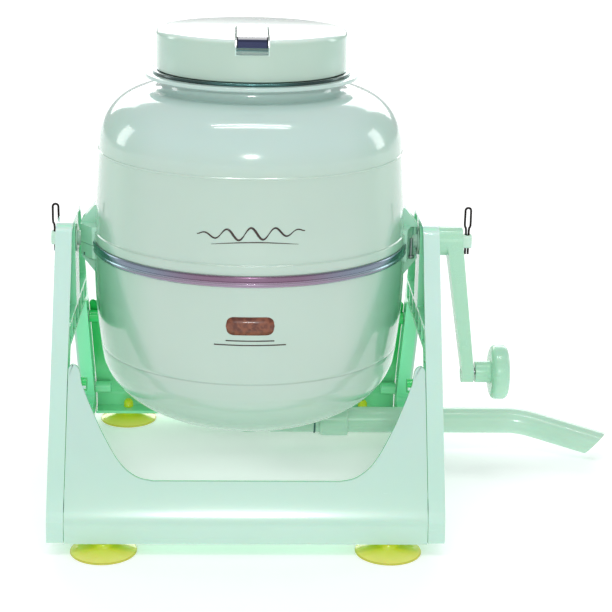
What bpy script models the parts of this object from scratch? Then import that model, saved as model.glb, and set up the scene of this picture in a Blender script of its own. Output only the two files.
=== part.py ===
"""Hand-cranked tumbling clothes washer: a plastic drum on two axles between two side frames.

Units are metres. The stand's centre is X = 0 below, +X towards the crank, -Y towards the user,
Z = 0 is the table. A root empty then shifts the whole object so that its box is centred on X = 0.
"""

import math

import bmesh
import bpy
from mathutils import Matrix, Vector

# ---- driving dimensions -------------------------------------------------------------------

GAP = 0.0004                # air between pieces that touch
STAND_HALF_WIDTH = 0.153    # outer faces of the two side frames
FRAME_DEPTH = 0.013         # how deep a side frame's tray is
SKIN = 0.0025               # moulded wall thickness of the stand
FOOT_Z = 0.009              # lower edge of the stand
FOOT_Y = 0.1525             # half depth of the stand at its foot
KNEE_Z, KNEE_SOFT = 0.026, 0.008    # below the knee the stand's faces are upright
LEG_SLOPE = 0.575           # how far a leg comes in for each unit of height above the knee
LEG_WIDTH = 0.021
FRAME_TOP = 0.2315
RAIL_TOP = 0.024            # top of the rail between the feet of a side frame
WINDOW_TOP = 0.140          # top of the opening between the legs
POCKET_BOTTOM = 0.159
PANEL_HALF = 0.1395         # half width of the panels, between the side frames

AXLE_Z = 0.212
AXLE_R = 0.006
DRUM_SHIFT = 0.0015         # the drum's side play is taken up to the right
DRUM_WALL = 0.0028
BLOCK_END = 0.137           # outer end of a trunnion block, from the drum's centre
BAND_LOW, BAND_HIGH = 0.2074, 0.2163

LID_R = 0.0757
LID_BOTTOM, LID_TOP = 0.3527, 0.385

CRANK_RADIUS = 0.114
TUBE_Y, TUBE_Z = 0.078, 0.0245
TUBE_R, TUBE_BORE = 0.0115, 0.009
CUP_X, CUP_Y = 0.110, 0.1437
CENTRE_TO_ORIGIN = 0.0801   # the tube reaches further right than the stand does left

PARTS = "tumbling_washer"
SEGMENTS = 32

FINISHES = {
    "mint_plastic": ((0.70, 0.90, 0.80), 0.25, 0.0),
    "drum_plastic": ((0.66, 0.82, 0.77), 0.18, 0.0),
    "cup_vinyl": ((0.74, 0.84, 0.16), 0.30, 0.0),
    "bright_metal": ((0.62, 0.60, 0.66), 0.20, 1.0),
    "spring_wire": ((0.10, 0.08, 0.08), 0.35, 1.0),
    "dark_rubber": ((0.10, 0.28, 0.26), 0.60, 0.0),
    "axle_steel": ((0.55, 0.55, 0.56), 0.30, 1.0),
    "white_acetal": ((0.86, 0.88, 0.86), 0.40, 0.0),
}


# ---- helpers ------------------------------------------------------------------------------

def clear_scene():
    for obj in list(bpy.data.objects):
        bpy.data.objects.remove(obj, do_unlink=True)


def collection(name):
    group = bpy.data.collections.new(name)
    bpy.context.scene.collection.children.link(group)
    return group


def finish(name):
    if name in bpy.data.materials:
        return bpy.data.materials[name]
    colour, roughness, metallic = FINISHES[name]
    material = bpy.data.materials.new(name)
    material.use_nodes = True
    shader = material.node_tree.nodes["Principled BSDF"]
    shader.inputs["Base Color"].default_value = (*colour, 1.0)
    shader.inputs["Roughness"].default_value = roughness
    shader.inputs["Metallic"].default_value = metallic
    return material


def empty(name, location, parent=None):
    obj = bpy.data.objects.new(name, None)
    parts.objects.link(obj)
    obj.location = location
    obj.parent = parent
    return obj


def make_object(name, mesh, material, parent, location=(0, 0, 0), rotation=(0, 0, 0)):
    obj = bpy.data.objects.new(name, mesh)
    parts.objects.link(obj)
    mesh.materials.clear()
    mesh.materials.append(finish(material))
    obj.parent = parent
    obj.location = location
    obj.rotation_euler = rotation
    return obj


def shade(mesh, angle=35):
    mesh.shade_smooth()
    mesh.set_sharp_from_angle(angle=math.radians(angle))


def turned_mesh(name, profile, segments=32):
    """Turn a closed outline of (radius, height) points about Z; the outer side runs downwards."""
    mesh = bpy.data.meshes.new(name)
    edges = [(i, (i + 1) % len(profile)) for i in range(len(profile))]
    mesh.from_pydata([(r, 0.0, z) for r, z in profile], edges, [])
    temp = bpy.data.objects.new(name, mesh)
    bpy.context.scene.collection.objects.link(temp)
    screw = temp.modifiers.new("Screw", "SCREW")
    screw.axis = "Z"
    screw.steps = segments
    screw.render_steps = segments
    screw.use_merge_vertices = True
    screw.merge_threshold = 0.00001
    bpy.context.view_layer.update()
    result = bpy.data.meshes.new_from_object(temp.evaluated_get(bpy.context.evaluated_depsgraph_get()))
    bpy.data.objects.remove(temp)
    tidy(result)
    shade(result)
    return result


def tidy(mesh):
    """Weld a mesh's loose caps and point its faces outwards."""
    work = bmesh.new()
    work.from_mesh(mesh)
    bmesh.ops.remove_doubles(work, verts=work.verts, dist=0.00001)
    bmesh.ops.dissolve_degenerate(work, edges=work.edges, dist=0.000005)
    bmesh.ops.recalc_face_normals(work, faces=work.faces)
    work.to_mesh(mesh)
    work.free()


def curve_mesh(curve):
    temp = bpy.data.objects.new("temp", curve)
    bpy.context.scene.collection.objects.link(temp)
    bpy.context.view_layer.update()
    mesh = bpy.data.meshes.new_from_object(temp.evaluated_get(bpy.context.evaluated_depsgraph_get()))
    bpy.data.objects.remove(temp)
    tidy(mesh)
    return mesh


def plate_mesh(name, outline, low, high):
    """A flat outline of (u, v) points, filled, from height low to height high along its own Z."""
    curve = bpy.data.curves.new(name, "CURVE")
    curve.dimensions = "2D"
    curve.fill_mode = "BOTH"
    curve.extrude = (high - low) / 2
    spline = curve.splines.new("POLY")
    spline.points.add(len(outline) - 1)
    for point, (u, v) in zip(spline.points, outline):
        point.co = (u, v, 0.0, 1.0)
    spline.use_cyclic_u = True
    mesh = curve_mesh(curve)
    mesh.transform(Matrix.Translation((0, 0, (low + high) / 2)))
    shade(mesh)
    return mesh


def wire_mesh(name, points, radius, sides=2):
    curve = bpy.data.curves.new(name, "CURVE")
    curve.dimensions = "3D"
    curve.bevel_depth = radius
    curve.bevel_resolution = sides
    curve.use_fill_caps = True
    spline = curve.splines.new("POLY")
    spline.points.add(len(points) - 1)
    for point, place in zip(spline.points, points):
        point.co = (*place, 1.0)
    mesh = curve_mesh(curve)
    shade(mesh)
    return mesh


def cylinder_mesh(name, radius, low, high, sides=24):
    return turned_mesh(name, [(0.0, high), (radius, high), (radius, low), (0.0, low)], sides)


def box_mesh(name, low, high):
    work = bmesh.new()
    bmesh.ops.create_cube(work, size=1.0)
    size = Vector(high) - Vector(low)
    middle = (Vector(high) + Vector(low)) / 2
    bmesh.ops.transform(work, verts=work.verts, matrix=Matrix.Translation(middle) @ Matrix.Diagonal((*size, 1)))
    mesh = bpy.data.meshes.new(name)
    work.to_mesh(mesh)
    work.free()
    return mesh


ALONG_X = Matrix(((0, 0, 1, 0), (1, 0, 0, 0), (0, 1, 0, 0), (0, 0, 0, 1)))    # (u, v, w) to (Y, Z, X)
ALONG_Y = Matrix(((1, 0, 0, 0), (0, 0, -1, 0), (0, 1, 0, 0), (0, 0, 0, 1)))   # (u, v, w) to (X, Z, -Y)


def placed(mesh, matrix):
    mesh.transform(matrix)
    return mesh


def rod_x(name, radius, low, high, y=0.0, z=0.0, sides=24):
    """A cylinder along X from low to high."""
    mesh = cylinder_mesh(name, radius, low, high, sides)
    return placed(mesh, Matrix.Translation((0, y, z)) @ ALONG_X)


def apply_boolean(obj, tools, operation):
    """Join or cut an object with tool meshes given in the object's own space, and apply the result."""
    for number, tool in enumerate(tools):
        tidy(tool)
        cutter = bpy.data.objects.new(f"{obj.name}_{operation.lower()}_{number}", tool)
        cutters.objects.link(cutter)
        cutter.hide_render = True
        cutter.display_type = "WIRE"
        cutter.parent = obj
        modifier = obj.modifiers.new(operation, "BOOLEAN")
        modifier.object = cutter
        modifier.operation = operation
        modifier.solver = "EXACT"
        bpy.context.view_layer.update()
        evaluated = obj.evaluated_get(bpy.context.evaluated_depsgraph_get())
        mesh = bpy.data.meshes.new_from_object(evaluated)
        obj.modifiers.remove(modifier)
        obj.data = mesh
        bpy.data.objects.remove(cutter)
    tidy(obj.data)
    shade(obj.data)


def rounded(corners, steps=4):
    """An outline with each (u, v, radius) corner turned into an arc; radius 0 keeps it sharp."""
    outline = []
    count = len(corners)
    for i, (u, v, radius) in enumerate(corners):
        here = Vector((u, v))
        before = (Vector(corners[i - 1][:2]) - here).normalized()
        after = (Vector(corners[(i + 1) % count][:2]) - here).normalized()
        if radius == 0:
            outline.append((u, v))
            continue
        half = before.angle(after) / 2
        centre = here + (before + after).normalized() * (radius / math.sin(half))
        start = here + before * (radius / math.tan(half)) - centre
        turn = start.angle_signed(here + after * (radius / math.tan(half)) - centre)
        for step in range(steps + 1):
            angle = -turn * step / steps
            outline.append((
                centre.x + start.x * math.cos(angle) - start.y * math.sin(angle),
                centre.y + start.x * math.sin(angle) + start.y * math.cos(angle),
            ))
    return outline


def leg_y(z, inset=0.0):
    """Half depth of the stand at height z, less an inset."""
    rise = z - KNEE_Z
    return FOOT_Y - LEG_SLOPE * (rise + math.hypot(rise, KNEE_SOFT)) / 2 - inset


# ---- stand --------------------------------------------------------------------------------

FOOT_SCREW = (0.1355, 0.034)      # (Y, Z) of the screws low on each side frame
HORN_SCREW = (0.0897, 0.117)      # and of those through the panels' horns
SCREW_SHANK, SCREW_HEAD = 0.0019, 0.0042
BOSS_R = 0.0055
CUP_R, CUP_SEAL_R, CUP_STEM_R = 0.0258, 0.0213, 0.0034


def frame_outline(inset, top_radius, foot_radius):
    low, high = FOOT_Z + inset, FRAME_TOP - inset
    side = inset * math.hypot(1, LEG_SLOPE)
    right = [(leg_y(low, side), low, foot_radius)]
    right += [(leg_y(KNEE_Z + k * KNEE_SOFT, side), KNEE_Z + k * KNEE_SOFT, 0.0) for k in (-1, 0, 1, 2)]
    right.append((leg_y(high, side), high, top_radius))
    return rounded(right + [(-y, z, radius) for y, z, radius in right[::-1]], 6)


def frame_pocket(low, high, inset, radius):
    """The outline of a hollow between the legs from height low to height high."""
    foot, top = leg_y(low, inset), leg_y(high, inset)
    return rounded([(foot, low, radius), (top, high, radius), (-top, high, radius), (-foot, low, radius)], 3)


def leg_channel(sign):
    """The hollow inside one leg of a side frame."""
    near, far = 0.003, LEG_WIDTH - 0.003
    low, high = 0.046, 0.134
    corners = [(leg_y(low, near), low, 0.002), (leg_y(high, near), high, 0.002),
               (leg_y(high, far), high, 0.002), (leg_y(low, far), low, 0.002)]
    return rounded([(sign * y, z, radius) for y, z, radius in corners], 2)


def side_frame(name, side):
    """A tray with its smooth face outside: side is 1 for the crank side, -1 for the other."""
    inner, outer = STAND_HALF_WIDTH - FRAME_DEPTH, STAND_HALF_WIDTH
    skin = outer - SKIN
    mirror = Matrix.Diagonal((side, 1, 1, 1))
    body = placed(plate_mesh(name, frame_outline(0.0, 0.014, 0.003), inner, outer), mirror @ ALONG_X)
    obj = make_object(name, body, "mint_plastic", root)
    tools = []

    def cut(outline, low, high):
        tools.append(placed(plate_mesh("cut", outline, low, high), mirror @ ALONG_X))

    margin = 0.01
    cut(frame_pocket(RAIL_TOP, WINDOW_TOP, LEG_WIDTH, 0.005), inner - margin, outer + margin)
    apply_boolean(obj, tools, "DIFFERENCE")
    tools.clear()

    boss = 0.0135
    for sign in (1, -1):
        # upper hollows each side of the bearing boss, and the short cells of the crossbar under them
        top = FRAME_TOP - SKIN
        corners = [
            (sign * boss, POCKET_BOTTOM, 0.001), (sign * leg_y(POCKET_BOTTOM, 0.0029), POCKET_BOTTOM, 0.003),
            (sign * leg_y(top, 0.0029), top, 0.014), (sign * boss, top, 0.001),
        ]
        cut(rounded(corners, 2), inner - margin, skin)
        cell = (leg_y(WINDOW_TOP, 0.012) - 0.003) / 3
        for index in range(3):
            low = 0.0015 + index * cell
            high = low + cell - 0.003
            y = sorted((sign * low, sign * high))
            cut([(y[0], 0.1425), (y[1], 0.1425), (y[1], 0.1565), (y[0], 0.1565)], inner - margin, skin)
        cut(leg_channel(sign), inner - margin, skin)
    cut([(-0.112, 0.0115), (0.060, 0.0115), (0.060, 0.0215), (-0.112, 0.0215)], inner - margin, skin)
    apply_boolean(obj, tools, "DIFFERENCE")
    tools.clear()

    joins = []
    for y in (FOOT_SCREW, HORN_SCREW):
        for sign in (1, -1):
            joins.append(rod_x("boss", BOSS_R, inner, skin + SKIN / 2, sign * y[0], y[1], 10))
    if side < 0:
        for mesh in joins:
            mesh.transform(mirror)
    apply_boolean(obj, joins, "UNION")

    tools.append(rod_x("bush_hole", BUSH_R + GAP, inner - margin, outer + margin, 0.0, AXLE_Z, 32))
    for y in (FOOT_SCREW, HORN_SCREW):
        for sign in (1, -1):
            place = (sign * y[0], y[1])
            tools.append(rod_x("shank", SCREW_SHANK + GAP, inner - margin, outer + margin, *place, 8))
            tools.append(rod_x("head", SCREW_HEAD + GAP, outer - 0.002, outer + margin, *place, 10))
    if side > 0:
        saddle = TUBE_R + 2 * GAP
        notch = [(TUBE_Y - saddle, RAIL_TOP + margin)]
        notch += [(TUBE_Y - saddle * math.cos(a), TUBE_Z - saddle * math.sin(a))
                  for a in (math.pi * k / 12 for k in range(13))]
        notch += [(TUBE_Y + saddle, RAIL_TOP + margin)]
        tools.append(placed(plate_mesh("notch", notch, inner - margin, outer + margin), ALONG_X))
    if side < 0:
        for mesh in tools:
            mesh.transform(mirror)
    apply_boolean(obj, tools, "DIFFERENCE")
    return obj


def panel_outline():
    """The front seen square on: a U of cut-out between two horns, as (X, height) points."""
    half = PANEL_HALF
    right = [
        (0.075, 0.054, 0.012), (0.094, 0.0605, 0.012), (0.108, 0.078, 0.015),
        (0.124, 0.109, 0.02), (0.130, 0.128, 0.004), (half - 0.001, 0.133, 0.004),
    ]
    return rounded([(half, FOOT_Z, 0.0)] + right[::-1] + [(-x, z, r) for x, z, r in right]
                   + [(-half, FOOT_Z, 0.0)], 3)


def panel(name, front):
    """A sloping panel with a flange for the cups along its foot; front is -1, rear is 1."""
    slant = math.hypot(1, LEG_SLOPE)
    flat = plate_mesh(name, panel_outline(), 0.0, SKIN * slant)
    work = bmesh.new()
    work.from_mesh(flat)
    for k in (-1, 0, 1, 2):
        everything = work.verts[:] + work.edges[:] + work.faces[:]
        bmesh.ops.bisect_plane(work, geom=everything, plane_co=(0, KNEE_Z + k * KNEE_SOFT, 0), plane_no=(0, 1, 0))
    work.to_mesh(flat)
    work.free()
    for vertex in flat.vertices:
        x, z, depth = vertex.co
        vertex.co = (x, front * (leg_y(z) - depth), z)
    tidy(flat)
    obj = make_object(name, flat, "mint_plastic", root)
    half = PANEL_HALF
    outer, inner = leg_y(FOOT_Z) - SKIN, CUP_Y - 0.012
    joins = [box_mesh("flange", (-half, min(front * outer, front * inner), FOOT_Z),
                      (half, max(front * outer, front * inner), FOOT_Z + SKIN))]
    apply_boolean(obj, joins, "UNION")

    joins = []
    length = 0.014
    for side in (1, -1):
        for y, z in (FOOT_SCREW, HORN_SCREW):
            low, high = sorted((side * (half - length), side * half))
            joins.append(rod_x("boss", BOSS_R, low, high, front * y, z, 10))
            root_y = leg_y(z) - SKIN / 2
            joins.append(box_mesh("web", (low, min(front * y, front * root_y), z - 0.0012),
                                  (high, max(front * y, front * root_y), z + 0.0012)))
    apply_boolean(obj, joins, "UNION")

    tools = []
    for side in (1, -1):
        tools.append(placed(cylinder_mesh("stem", CUP_STEM_R + GAP, FOOT_Z - 0.01, FOOT_Z + 0.01, 12),
                            Matrix.Translation((side * CUP_X, front * CUP_Y, 0))))
        for y, z in (FOOT_SCREW, HORN_SCREW):
            low, high = sorted((side * (half - 0.011), side * (half + 0.01)))
            tools.append(rod_x("hole", SCREW_SHANK + GAP, low, high, front * y, z, 8))
    apply_boolean(obj, tools, "DIFFERENCE")
    return obj


def suction_cup(name, x, y):
    """A soft disc, its neck, and a button that snaps above the flange."""
    flange_low, flange_high = FOOT_Z - GAP, FOOT_Z + SKIN + GAP
    profile = [
        (0.0, 0.0190), (0.0026, 0.0190), (0.0038, 0.0178), (0.0045, 0.0145), (0.0045, flange_high),
        (CUP_STEM_R, flange_high), (CUP_STEM_R, flange_low), (0.0075, flange_low), (0.0085, 0.0062),
        (0.0140, 0.0048), (0.0210, 0.0028), (CUP_R, 0.0014), (CUP_R, 0.0),
        (CUP_SEAL_R, 0.0), (0.0130, 0.0020), (0.0, 0.0028),
    ]
    return make_object(name, turned_mesh(name, profile, 16), "cup_vinyl", root, (x, y, 0))


def panel_screw(name, side, y, z):
    """A pan-head screw through a side frame into a panel's boss."""
    head_in, head_out = STAND_HALF_WIDTH - 0.002 + GAP, STAND_HALF_WIDTH - 0.0002
    tip = STAND_HALF_WIDTH - FRAME_DEPTH - 0.0105
    profile = [
        (0.0, head_out), (SCREW_HEAD * 0.75, head_out), (SCREW_HEAD, head_out - 0.0007),
        (SCREW_HEAD, head_in), (SCREW_SHANK, head_in), (SCREW_SHANK, tip + 0.001),
        (SCREW_SHANK * 0.5, tip), (0.0, tip),
    ]
    mesh = placed(turned_mesh(name, profile, 8), ALONG_X)
    turn = 0.0 if side > 0 else math.pi
    return make_object(name, mesh, "axle_steel", root, (0, y, z), (0, 0, turn))


# ---- drum ---------------------------------------------------------------------------------

BUSH_R = 0.0090
GASKET_LOW, GASKET_HIGH = 0.2113, 0.2137
BOWL_CENTRE_Z, BOWL_A, BOWL_B, BOWL_POWER = 0.126, 0.1219, 0.066, 2.15
VALVE_R = 0.016
PLUG_Z = 0.0560             # middle of the drain plug
COLLAR_R, COLLAR_IN, COLLAR_OUT = 0.0085, 0.1300, 0.1330
DRUM_SCREW_X, DRUM_SCREW_Y = 0.1315, 0.0145
SHOULDER_R = 0.0425
NECK_R, MOUTH_R = 0.0720, 0.0665
FLANGE_R, FLANGE_LOW, FLANGE_HIGH = 0.0850, 0.3468, 0.3500


def bowl_profile(shrink=0.0):
    """The lower shell's side from its rim down to the axis, moved in by the wall when shrunk."""
    points = [(0.1270, GASKET_LOW - 0.0004), (0.1263, 0.168), (0.1245, 0.146)]
    a, b = BOWL_A - shrink, BOWL_B - shrink
    low = [(x - shrink, z) for x, z in points]
    steps = 7
    for k in range(steps + 1):
        angle = math.pi / 2 * k / steps
        r = a * max(math.cos(angle), 0.0) ** (2 / BOWL_POWER)
        z = BOWL_CENTRE_Z - b * math.sin(angle) ** (2 / BOWL_POWER)
        low.append((0.0 if k == steps else r, z))
    return low


def dome_profile(shrink=0.0):
    """The upper shell's side from the foot of the neck to its rim."""
    top_z, shoulder_foot = 0.3370 - shrink, 0.2945
    radius = SHOULDER_R - shrink
    wall = 0.1215 - shrink
    points = []
    steps = 6
    for k in range(steps + 1):
        angle = math.pi / 2 * (1 - k / steps)
        points.append((wall - radius + radius * math.cos(angle), shoulder_foot + radius * math.sin(angle)))
    points[0] = (points[0][0], top_z)
    points += [(0.1237 - shrink, 0.262), (0.1257 - shrink, 0.231)]
    return points


def trunnion_block(upper):
    """A flared lug on both ends of a shell, in plan a trapezium, with a sloping gusset."""
    face = GAP / 2
    lugs = []
    for side in (1, -1):
        plan = [(0.1200, -0.028), (0.1265, -0.026), (BLOCK_END, -0.0125), (BLOCK_END, 0.0125),
                (0.1265, 0.026), (0.1200, 0.028)]
        plan = [(side * x, y) for x, y in plan]
        low, high = (AXLE_Z + face, 0.2270) if upper else (0.2010, AXLE_Z - face)
        lugs.append(plate_mesh("lug", plan, low, high))
        root_x, tip_x = 0.1210, BLOCK_END
        if upper:
            gusset = [(root_x, 0.2260), (tip_x, 0.2260), (tip_x, 0.2285), (root_x + 0.004, 0.2420), (root_x, 0.2420)]
        else:
            gusset = [(root_x, 0.2020), (tip_x, 0.2020), (tip_x, 0.1995), (root_x + 0.004, 0.1850), (root_x, 0.1850)]
        gusset = [(side * x, z) for x, z in gusset]
        lugs.append(placed(plate_mesh("gusset", gusset, -0.0105, 0.0105), ALONG_Y))
    return lugs


def trunnion_cuts(upper):
    """The seat of each axle and the holes of the two screws beside it."""
    tools = []
    for side in (1, -1):
        low, high = sorted((side * (COLLAR_IN - GAP), side * (COLLAR_OUT + GAP)))
        tools.append(placed(rod_x("seat", COLLAR_R + GAP, low, high, 0, 0, 6), Matrix.Translation((0, 0, AXLE_Z))))
        low, high = sorted((side * (COLLAR_IN - GAP), side * (BLOCK_END + 0.01)))
        tools.append(rod_x("seat", AXLE_R + GAP, low, high, 0, AXLE_Z, 20))
        for sign in (1, -1):
            place = Matrix.Translation((side * DRUM_SCREW_X, sign * DRUM_SCREW_Y, 0))
            if upper:
                tools.append(placed(cylinder_mesh("pilot", 0.0014 + GAP, 0.205, 0.222, 8), place))
            else:
                tools.append(placed(cylinder_mesh("hole", 0.0014 + GAP, 0.190, 0.220, 8), place))
                tools.append(placed(cylinder_mesh("head", 0.0030 + GAP, 0.190, 0.2040, 8), place))
    return tools


def drum_lower_shell():
    name = "drum_lower_shell"
    outer = bowl_profile()
    inner = bowl_profile(DRUM_WALL)
    profile = outer + inner[::-1]
    obj = make_object(name, turned_mesh(name, profile, SEGMENTS), "drum_plastic", drum)
    lugs = trunnion_block(False)
    bore = cylinder_mesh("bore", 0.1225, 0.18, 0.24, SEGMENTS)
    seat = cylinder_mesh("seat", 0.1266, GASKET_LOW - GAP, 0.24, SEGMENTS)
    apply_boolean(obj, lugs, "UNION")
    hole = cylinder_mesh("valve", VALVE_R + GAP, 0.04, 0.08, 32)
    apply_boolean(obj, [bore, seat, hole] + trunnion_cuts(False), "DIFFERENCE")
    return obj


def drum_upper_shell():
    name = "drum_upper_shell"
    dome = dome_profile()
    inner = dome_profile(DRUM_WALL)
    lip_top = 0.3600
    outer = [
        (0.0695, lip_top), (0.0705, lip_top - 0.001), (0.0705, FLANGE_HIGH), (FLANGE_R - 0.001, FLANGE_HIGH),
        (FLANGE_R, FLANGE_HIGH - 0.001), (FLANGE_R, FLANGE_LOW), (NECK_R, FLANGE_LOW), (NECK_R, 0.3385),
    ]
    lip = [(0.1257, 0.2240), (0.1272, 0.2232), (0.1274, BAND_HIGH + 0.0003), (0.1268, GASKET_HIGH + 0.0004)]
    profile = outer + dome + lip + [(0.1268 - DRUM_WALL, GASKET_HIGH + 0.0004)]
    profile += [(0.1257 - DRUM_WALL, 0.2240)] + inner[::-1]
    profile += [(MOUTH_R, inner[0][1]), (MOUTH_R, lip_top)]
    obj = make_object(name, turned_mesh(name, profile, SEGMENTS), "drum_plastic", drum)
    apply_boolean(obj, trunnion_block(True), "UNION")
    bore = cylinder_mesh("bore", 0.1225, 0.205, 0.243, SEGMENTS)
    seat = cylinder_mesh("seat", 0.1266, 0.205, GASKET_HIGH + GAP, SEGMENTS)
    apply_boolean(obj, [bore, seat] + trunnion_cuts(True), "DIFFERENCE")
    return obj


def ring(name, inner_r, outer_r, low, high, material, parent, segments=SEGMENTS):
    profile = [(inner_r, high), (outer_r, high), (outer_r, low), (inner_r, low)]
    return make_object(name, turned_mesh(name, profile, segments), material, parent)


def drum_band(name, sign):
    """Half of the trim band round the seam, with two ridges; it stops at the trunnion blocks."""
    low, high = BAND_LOW, BAND_HIGH - 0.0002
    inner = 0.1278
    profile = [
        (inner, high), (0.1286, high), (0.1290, high - 0.0010), (0.1290, 0.2122), (0.1283, 0.2114),
        (0.1283, 0.2104), (0.1288, 0.2097), (0.1288, low + 0.0006), (0.1283, low), (inner, low),
    ]
    obj = make_object(name, turned_mesh(name, profile, SEGMENTS), "bright_metal", drum)
    stop = 0.0275
    low_y, high_y = sorted((-sign * 0.2, sign * stop))
    apply_boolean(obj, [box_mesh("stop", (-0.2, low_y, 0.19), (0.2, high_y, 0.24))], "DIFFERENCE")
    return obj


def axle(name, side):
    """A steel axle with a hexagonal collar held in the block, and a cross hole at its end."""
    end = 0.1825 if side > 0 else 0.1618
    pin = RIGHT_PIN_X if side > 0 else LEFT_PIN_X
    mesh = rod_x(name, AXLE_R, COLLAR_IN, end, sides=20)
    obj = make_object(name, mesh, "axle_steel", drum, (0, 0, AXLE_Z), (0, 0, 0 if side > 0 else math.pi))
    apply_boolean(obj, [rod_x("collar", COLLAR_R, COLLAR_IN, COLLAR_OUT, sides=6)], "UNION")
    hole = cylinder_mesh("cross_hole", PIN_HOLE_R, -0.01, 0.01, 16)
    hole.transform(Matrix.Translation((pin, 0, 0)))
    cuts = [hole]
    if side > 0:
        for sign in (1, -1):
            flat = sorted((sign * FLAT, sign * 0.01))
            cuts.append(box_mesh("flat", (HUB_IN - DRUM_SHIFT - 2 * GAP, flat[0], -0.01), (0.19, flat[1], 0.01)))
    apply_boolean(obj, cuts, "DIFFERENCE")
    return obj


def drum_screw(name, x, y):
    profile = [
        (0.0, 0.2195), (0.0014, 0.2180), (0.0014, 0.2040), (0.0030, 0.2040), (0.0030, 0.2020),
        (0.0022, 0.2012), (0.0, 0.2012),
    ]
    profile = [(r, z - 0.0004) for r, z in profile]
    return make_object(name, turned_mesh(name, profile, 8), "axle_steel", drum, (x, y, 0))


def drain_valve():
    """The threaded-in drain fitting at the bottom of the drum and its pull-out plug."""
    low, high = 0.0505, 0.0675
    body = [
        (0.0105, high), (0.0220, high), (0.0220, 0.0652), (VALVE_R, 0.0652), (VALVE_R, low), (0.0105, low),
    ]
    make_object("drain_valve_body", turned_mesh("drain_valve_body", body, 24), "mint_plastic", drum)
    sides = 8
    across = (VALVE_R + GAP) / math.cos(math.pi / sides)
    nut = [(across, 0.0594), (0.0215, 0.0594), (0.0215, 0.0555), (across, 0.0555)]
    make_object("drain_valve_nut", turned_mesh("drain_valve_nut", nut, sides), "mint_plastic", drum)
    plug = [
        (0.0, 0.0640), (0.0085, 0.0640), (0.0098, 0.0625), (0.0098, 0.0601), (0.0082, 0.0601),
        (0.0082, 0.0577), (0.0098, 0.0577), (0.0098, low - GAP), (0.0150, low - GAP), (0.0150, 0.0478),
        (0.0045, 0.0478), (0.0045, 0.0440), (0.0, 0.0440),
    ]
    obj = make_object("drain_plug", turned_mesh("drain_plug", plug, 16), "mint_plastic", plug_slide)
    obj.location = (0, 0, -PLUG_Z)
    seal = [(0.0085, 0.0598), (0.0101, 0.0594), (0.0101, 0.0584), (0.0085, 0.0580)]
    obj = make_object("drain_plug_seal", turned_mesh("drain_plug_seal", seal, 16), "dark_rubber", plug_slide)
    obj.location = (0, 0, -PLUG_Z)


# ---- lid ----------------------------------------------------------------------------------

LEVER_WIDTH = 0.0236
LEVER_AXIS_Y, LEVER_AXIS_Z = 0.0, 0.3825
LEVER_TIP = 0.0770          # from the lever's pin to its curled tip
LEVER_RISE = 0.0045         # from the pin to the top of the strap
CAM_LOW, CAM_REAR = 0.0029, 0.0020
LEVER_PIN_R = 0.0010
GROOVE_HALF = LEVER_WIDTH / 2 + 0.0014
GROOVE_FLOOR = LEVER_AXIS_Z - CAM_LOW - GAP
GROOVE_BACK = 0.0060        # behind the pin, so that the strap can stand upright
CEILING = GROOVE_FLOOR - SKIN
ROD_R = 0.0040
EYE_R, EYE_TOP = 0.0024, 0.3842     # the rod's slim end, which turns free inside the strap
PLATE_R = 0.0560
RECESS_FLOOR = 0.3732


def lid_cap():
    """A shallow cap with a plug wall, a groove for the lever and a finger recess at the front."""
    name = "lid_cap"
    top, edge = LID_TOP, 0.004
    outer = [(0.0, top)]
    for k in range(5):
        angle = math.pi / 2 * (1 - k / 4)
        outer.append((LID_R - edge + edge * math.cos(angle), top - edge + edge * math.sin(angle)))
    profile = outer + [
        (LID_R, LID_BOTTOM), (LID_R - SKIN, LID_BOTTOM), (LID_R - SKIN - 0.0005, 0.3640), (0.0640, 0.3640),
        (0.0640, 0.3560), (0.0615, 0.3560), (0.0610, CEILING), (0.0, CEILING),
    ]
    obj = make_object(name, turned_mesh(name, profile, SEGMENTS), "drum_plastic", lid)
    lining = box_mesh("lining", (-0.0165, -0.0735, 0.3655), (0.0165, -0.0600, top - 0.002))
    guide = cylinder_mesh("guide", 0.0075, 0.3700, CEILING + 0.001, 20)
    apply_boolean(obj, [lining, guide], "UNION")
    recess = box_mesh("recess", (-0.0122, -0.080, RECESS_FLOOR), (0.0122, -0.0655, top + 0.01))
    groove = box_mesh("groove", (-GROOVE_HALF, -0.080, GROOVE_FLOOR), (GROOVE_HALF, GROOVE_BACK, top + 0.01))
    rod_hole = cylinder_mesh("rod_hole", ROD_R + GAP, 0.30, 0.40, 24)
    apply_boolean(obj, [recess, groove, rod_hole], "DIFFERENCE")
    return obj


def lid_lever():
    """A pressed strap with turned-down sides, a curled tip, and a cam round the pin at its other end."""
    name = "lid_lever"
    half, thick = LEVER_WIDTH / 2, 0.0012
    rise, tip = LEVER_RISE, LEVER_TIP
    cam = []
    for k in range(7):
        share = k / 6
        angle = -math.pi / 2 * (1 - share)
        radius = CAM_LOW + (CAM_REAR - CAM_LOW) * share
        cam.append((radius * math.cos(angle), radius * math.sin(angle)))
    side_shape = cam + [
        (0.0014, rise - 0.0006), (0.0006, rise), (-tip + 0.004, rise - 0.0002), (-tip + 0.0015, rise - 0.0014),
        (-tip, rise - 0.0036), (-tip, -0.0035), (-tip + 0.0028, -0.0035), (-tip + 0.0046, -0.0016),
        (-0.004, -0.0026),
    ]
    obj = make_object(name, placed(plate_mesh(name, side_shape, -half, half), ALONG_X), "bright_metal", lever)
    inside = [
        (0.02, rise - thick), (-tip + 0.0044, rise - thick - 0.0002), (-tip + 0.0026, rise - 0.0024),
        (-tip + thick, rise - 0.0042), (-tip + thick, -0.01), (0.02, -0.01),
    ]
    hollow = placed(plate_mesh("hollow", inside, -half + thick, half - thick), ALONG_X)
    tools = [hollow, rod_x("pin_hole", LEVER_PIN_R + GAP, -0.02, 0.02, sides=16)]
    apply_boolean(obj, tools, "DIFFERENCE")
    return obj


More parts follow.
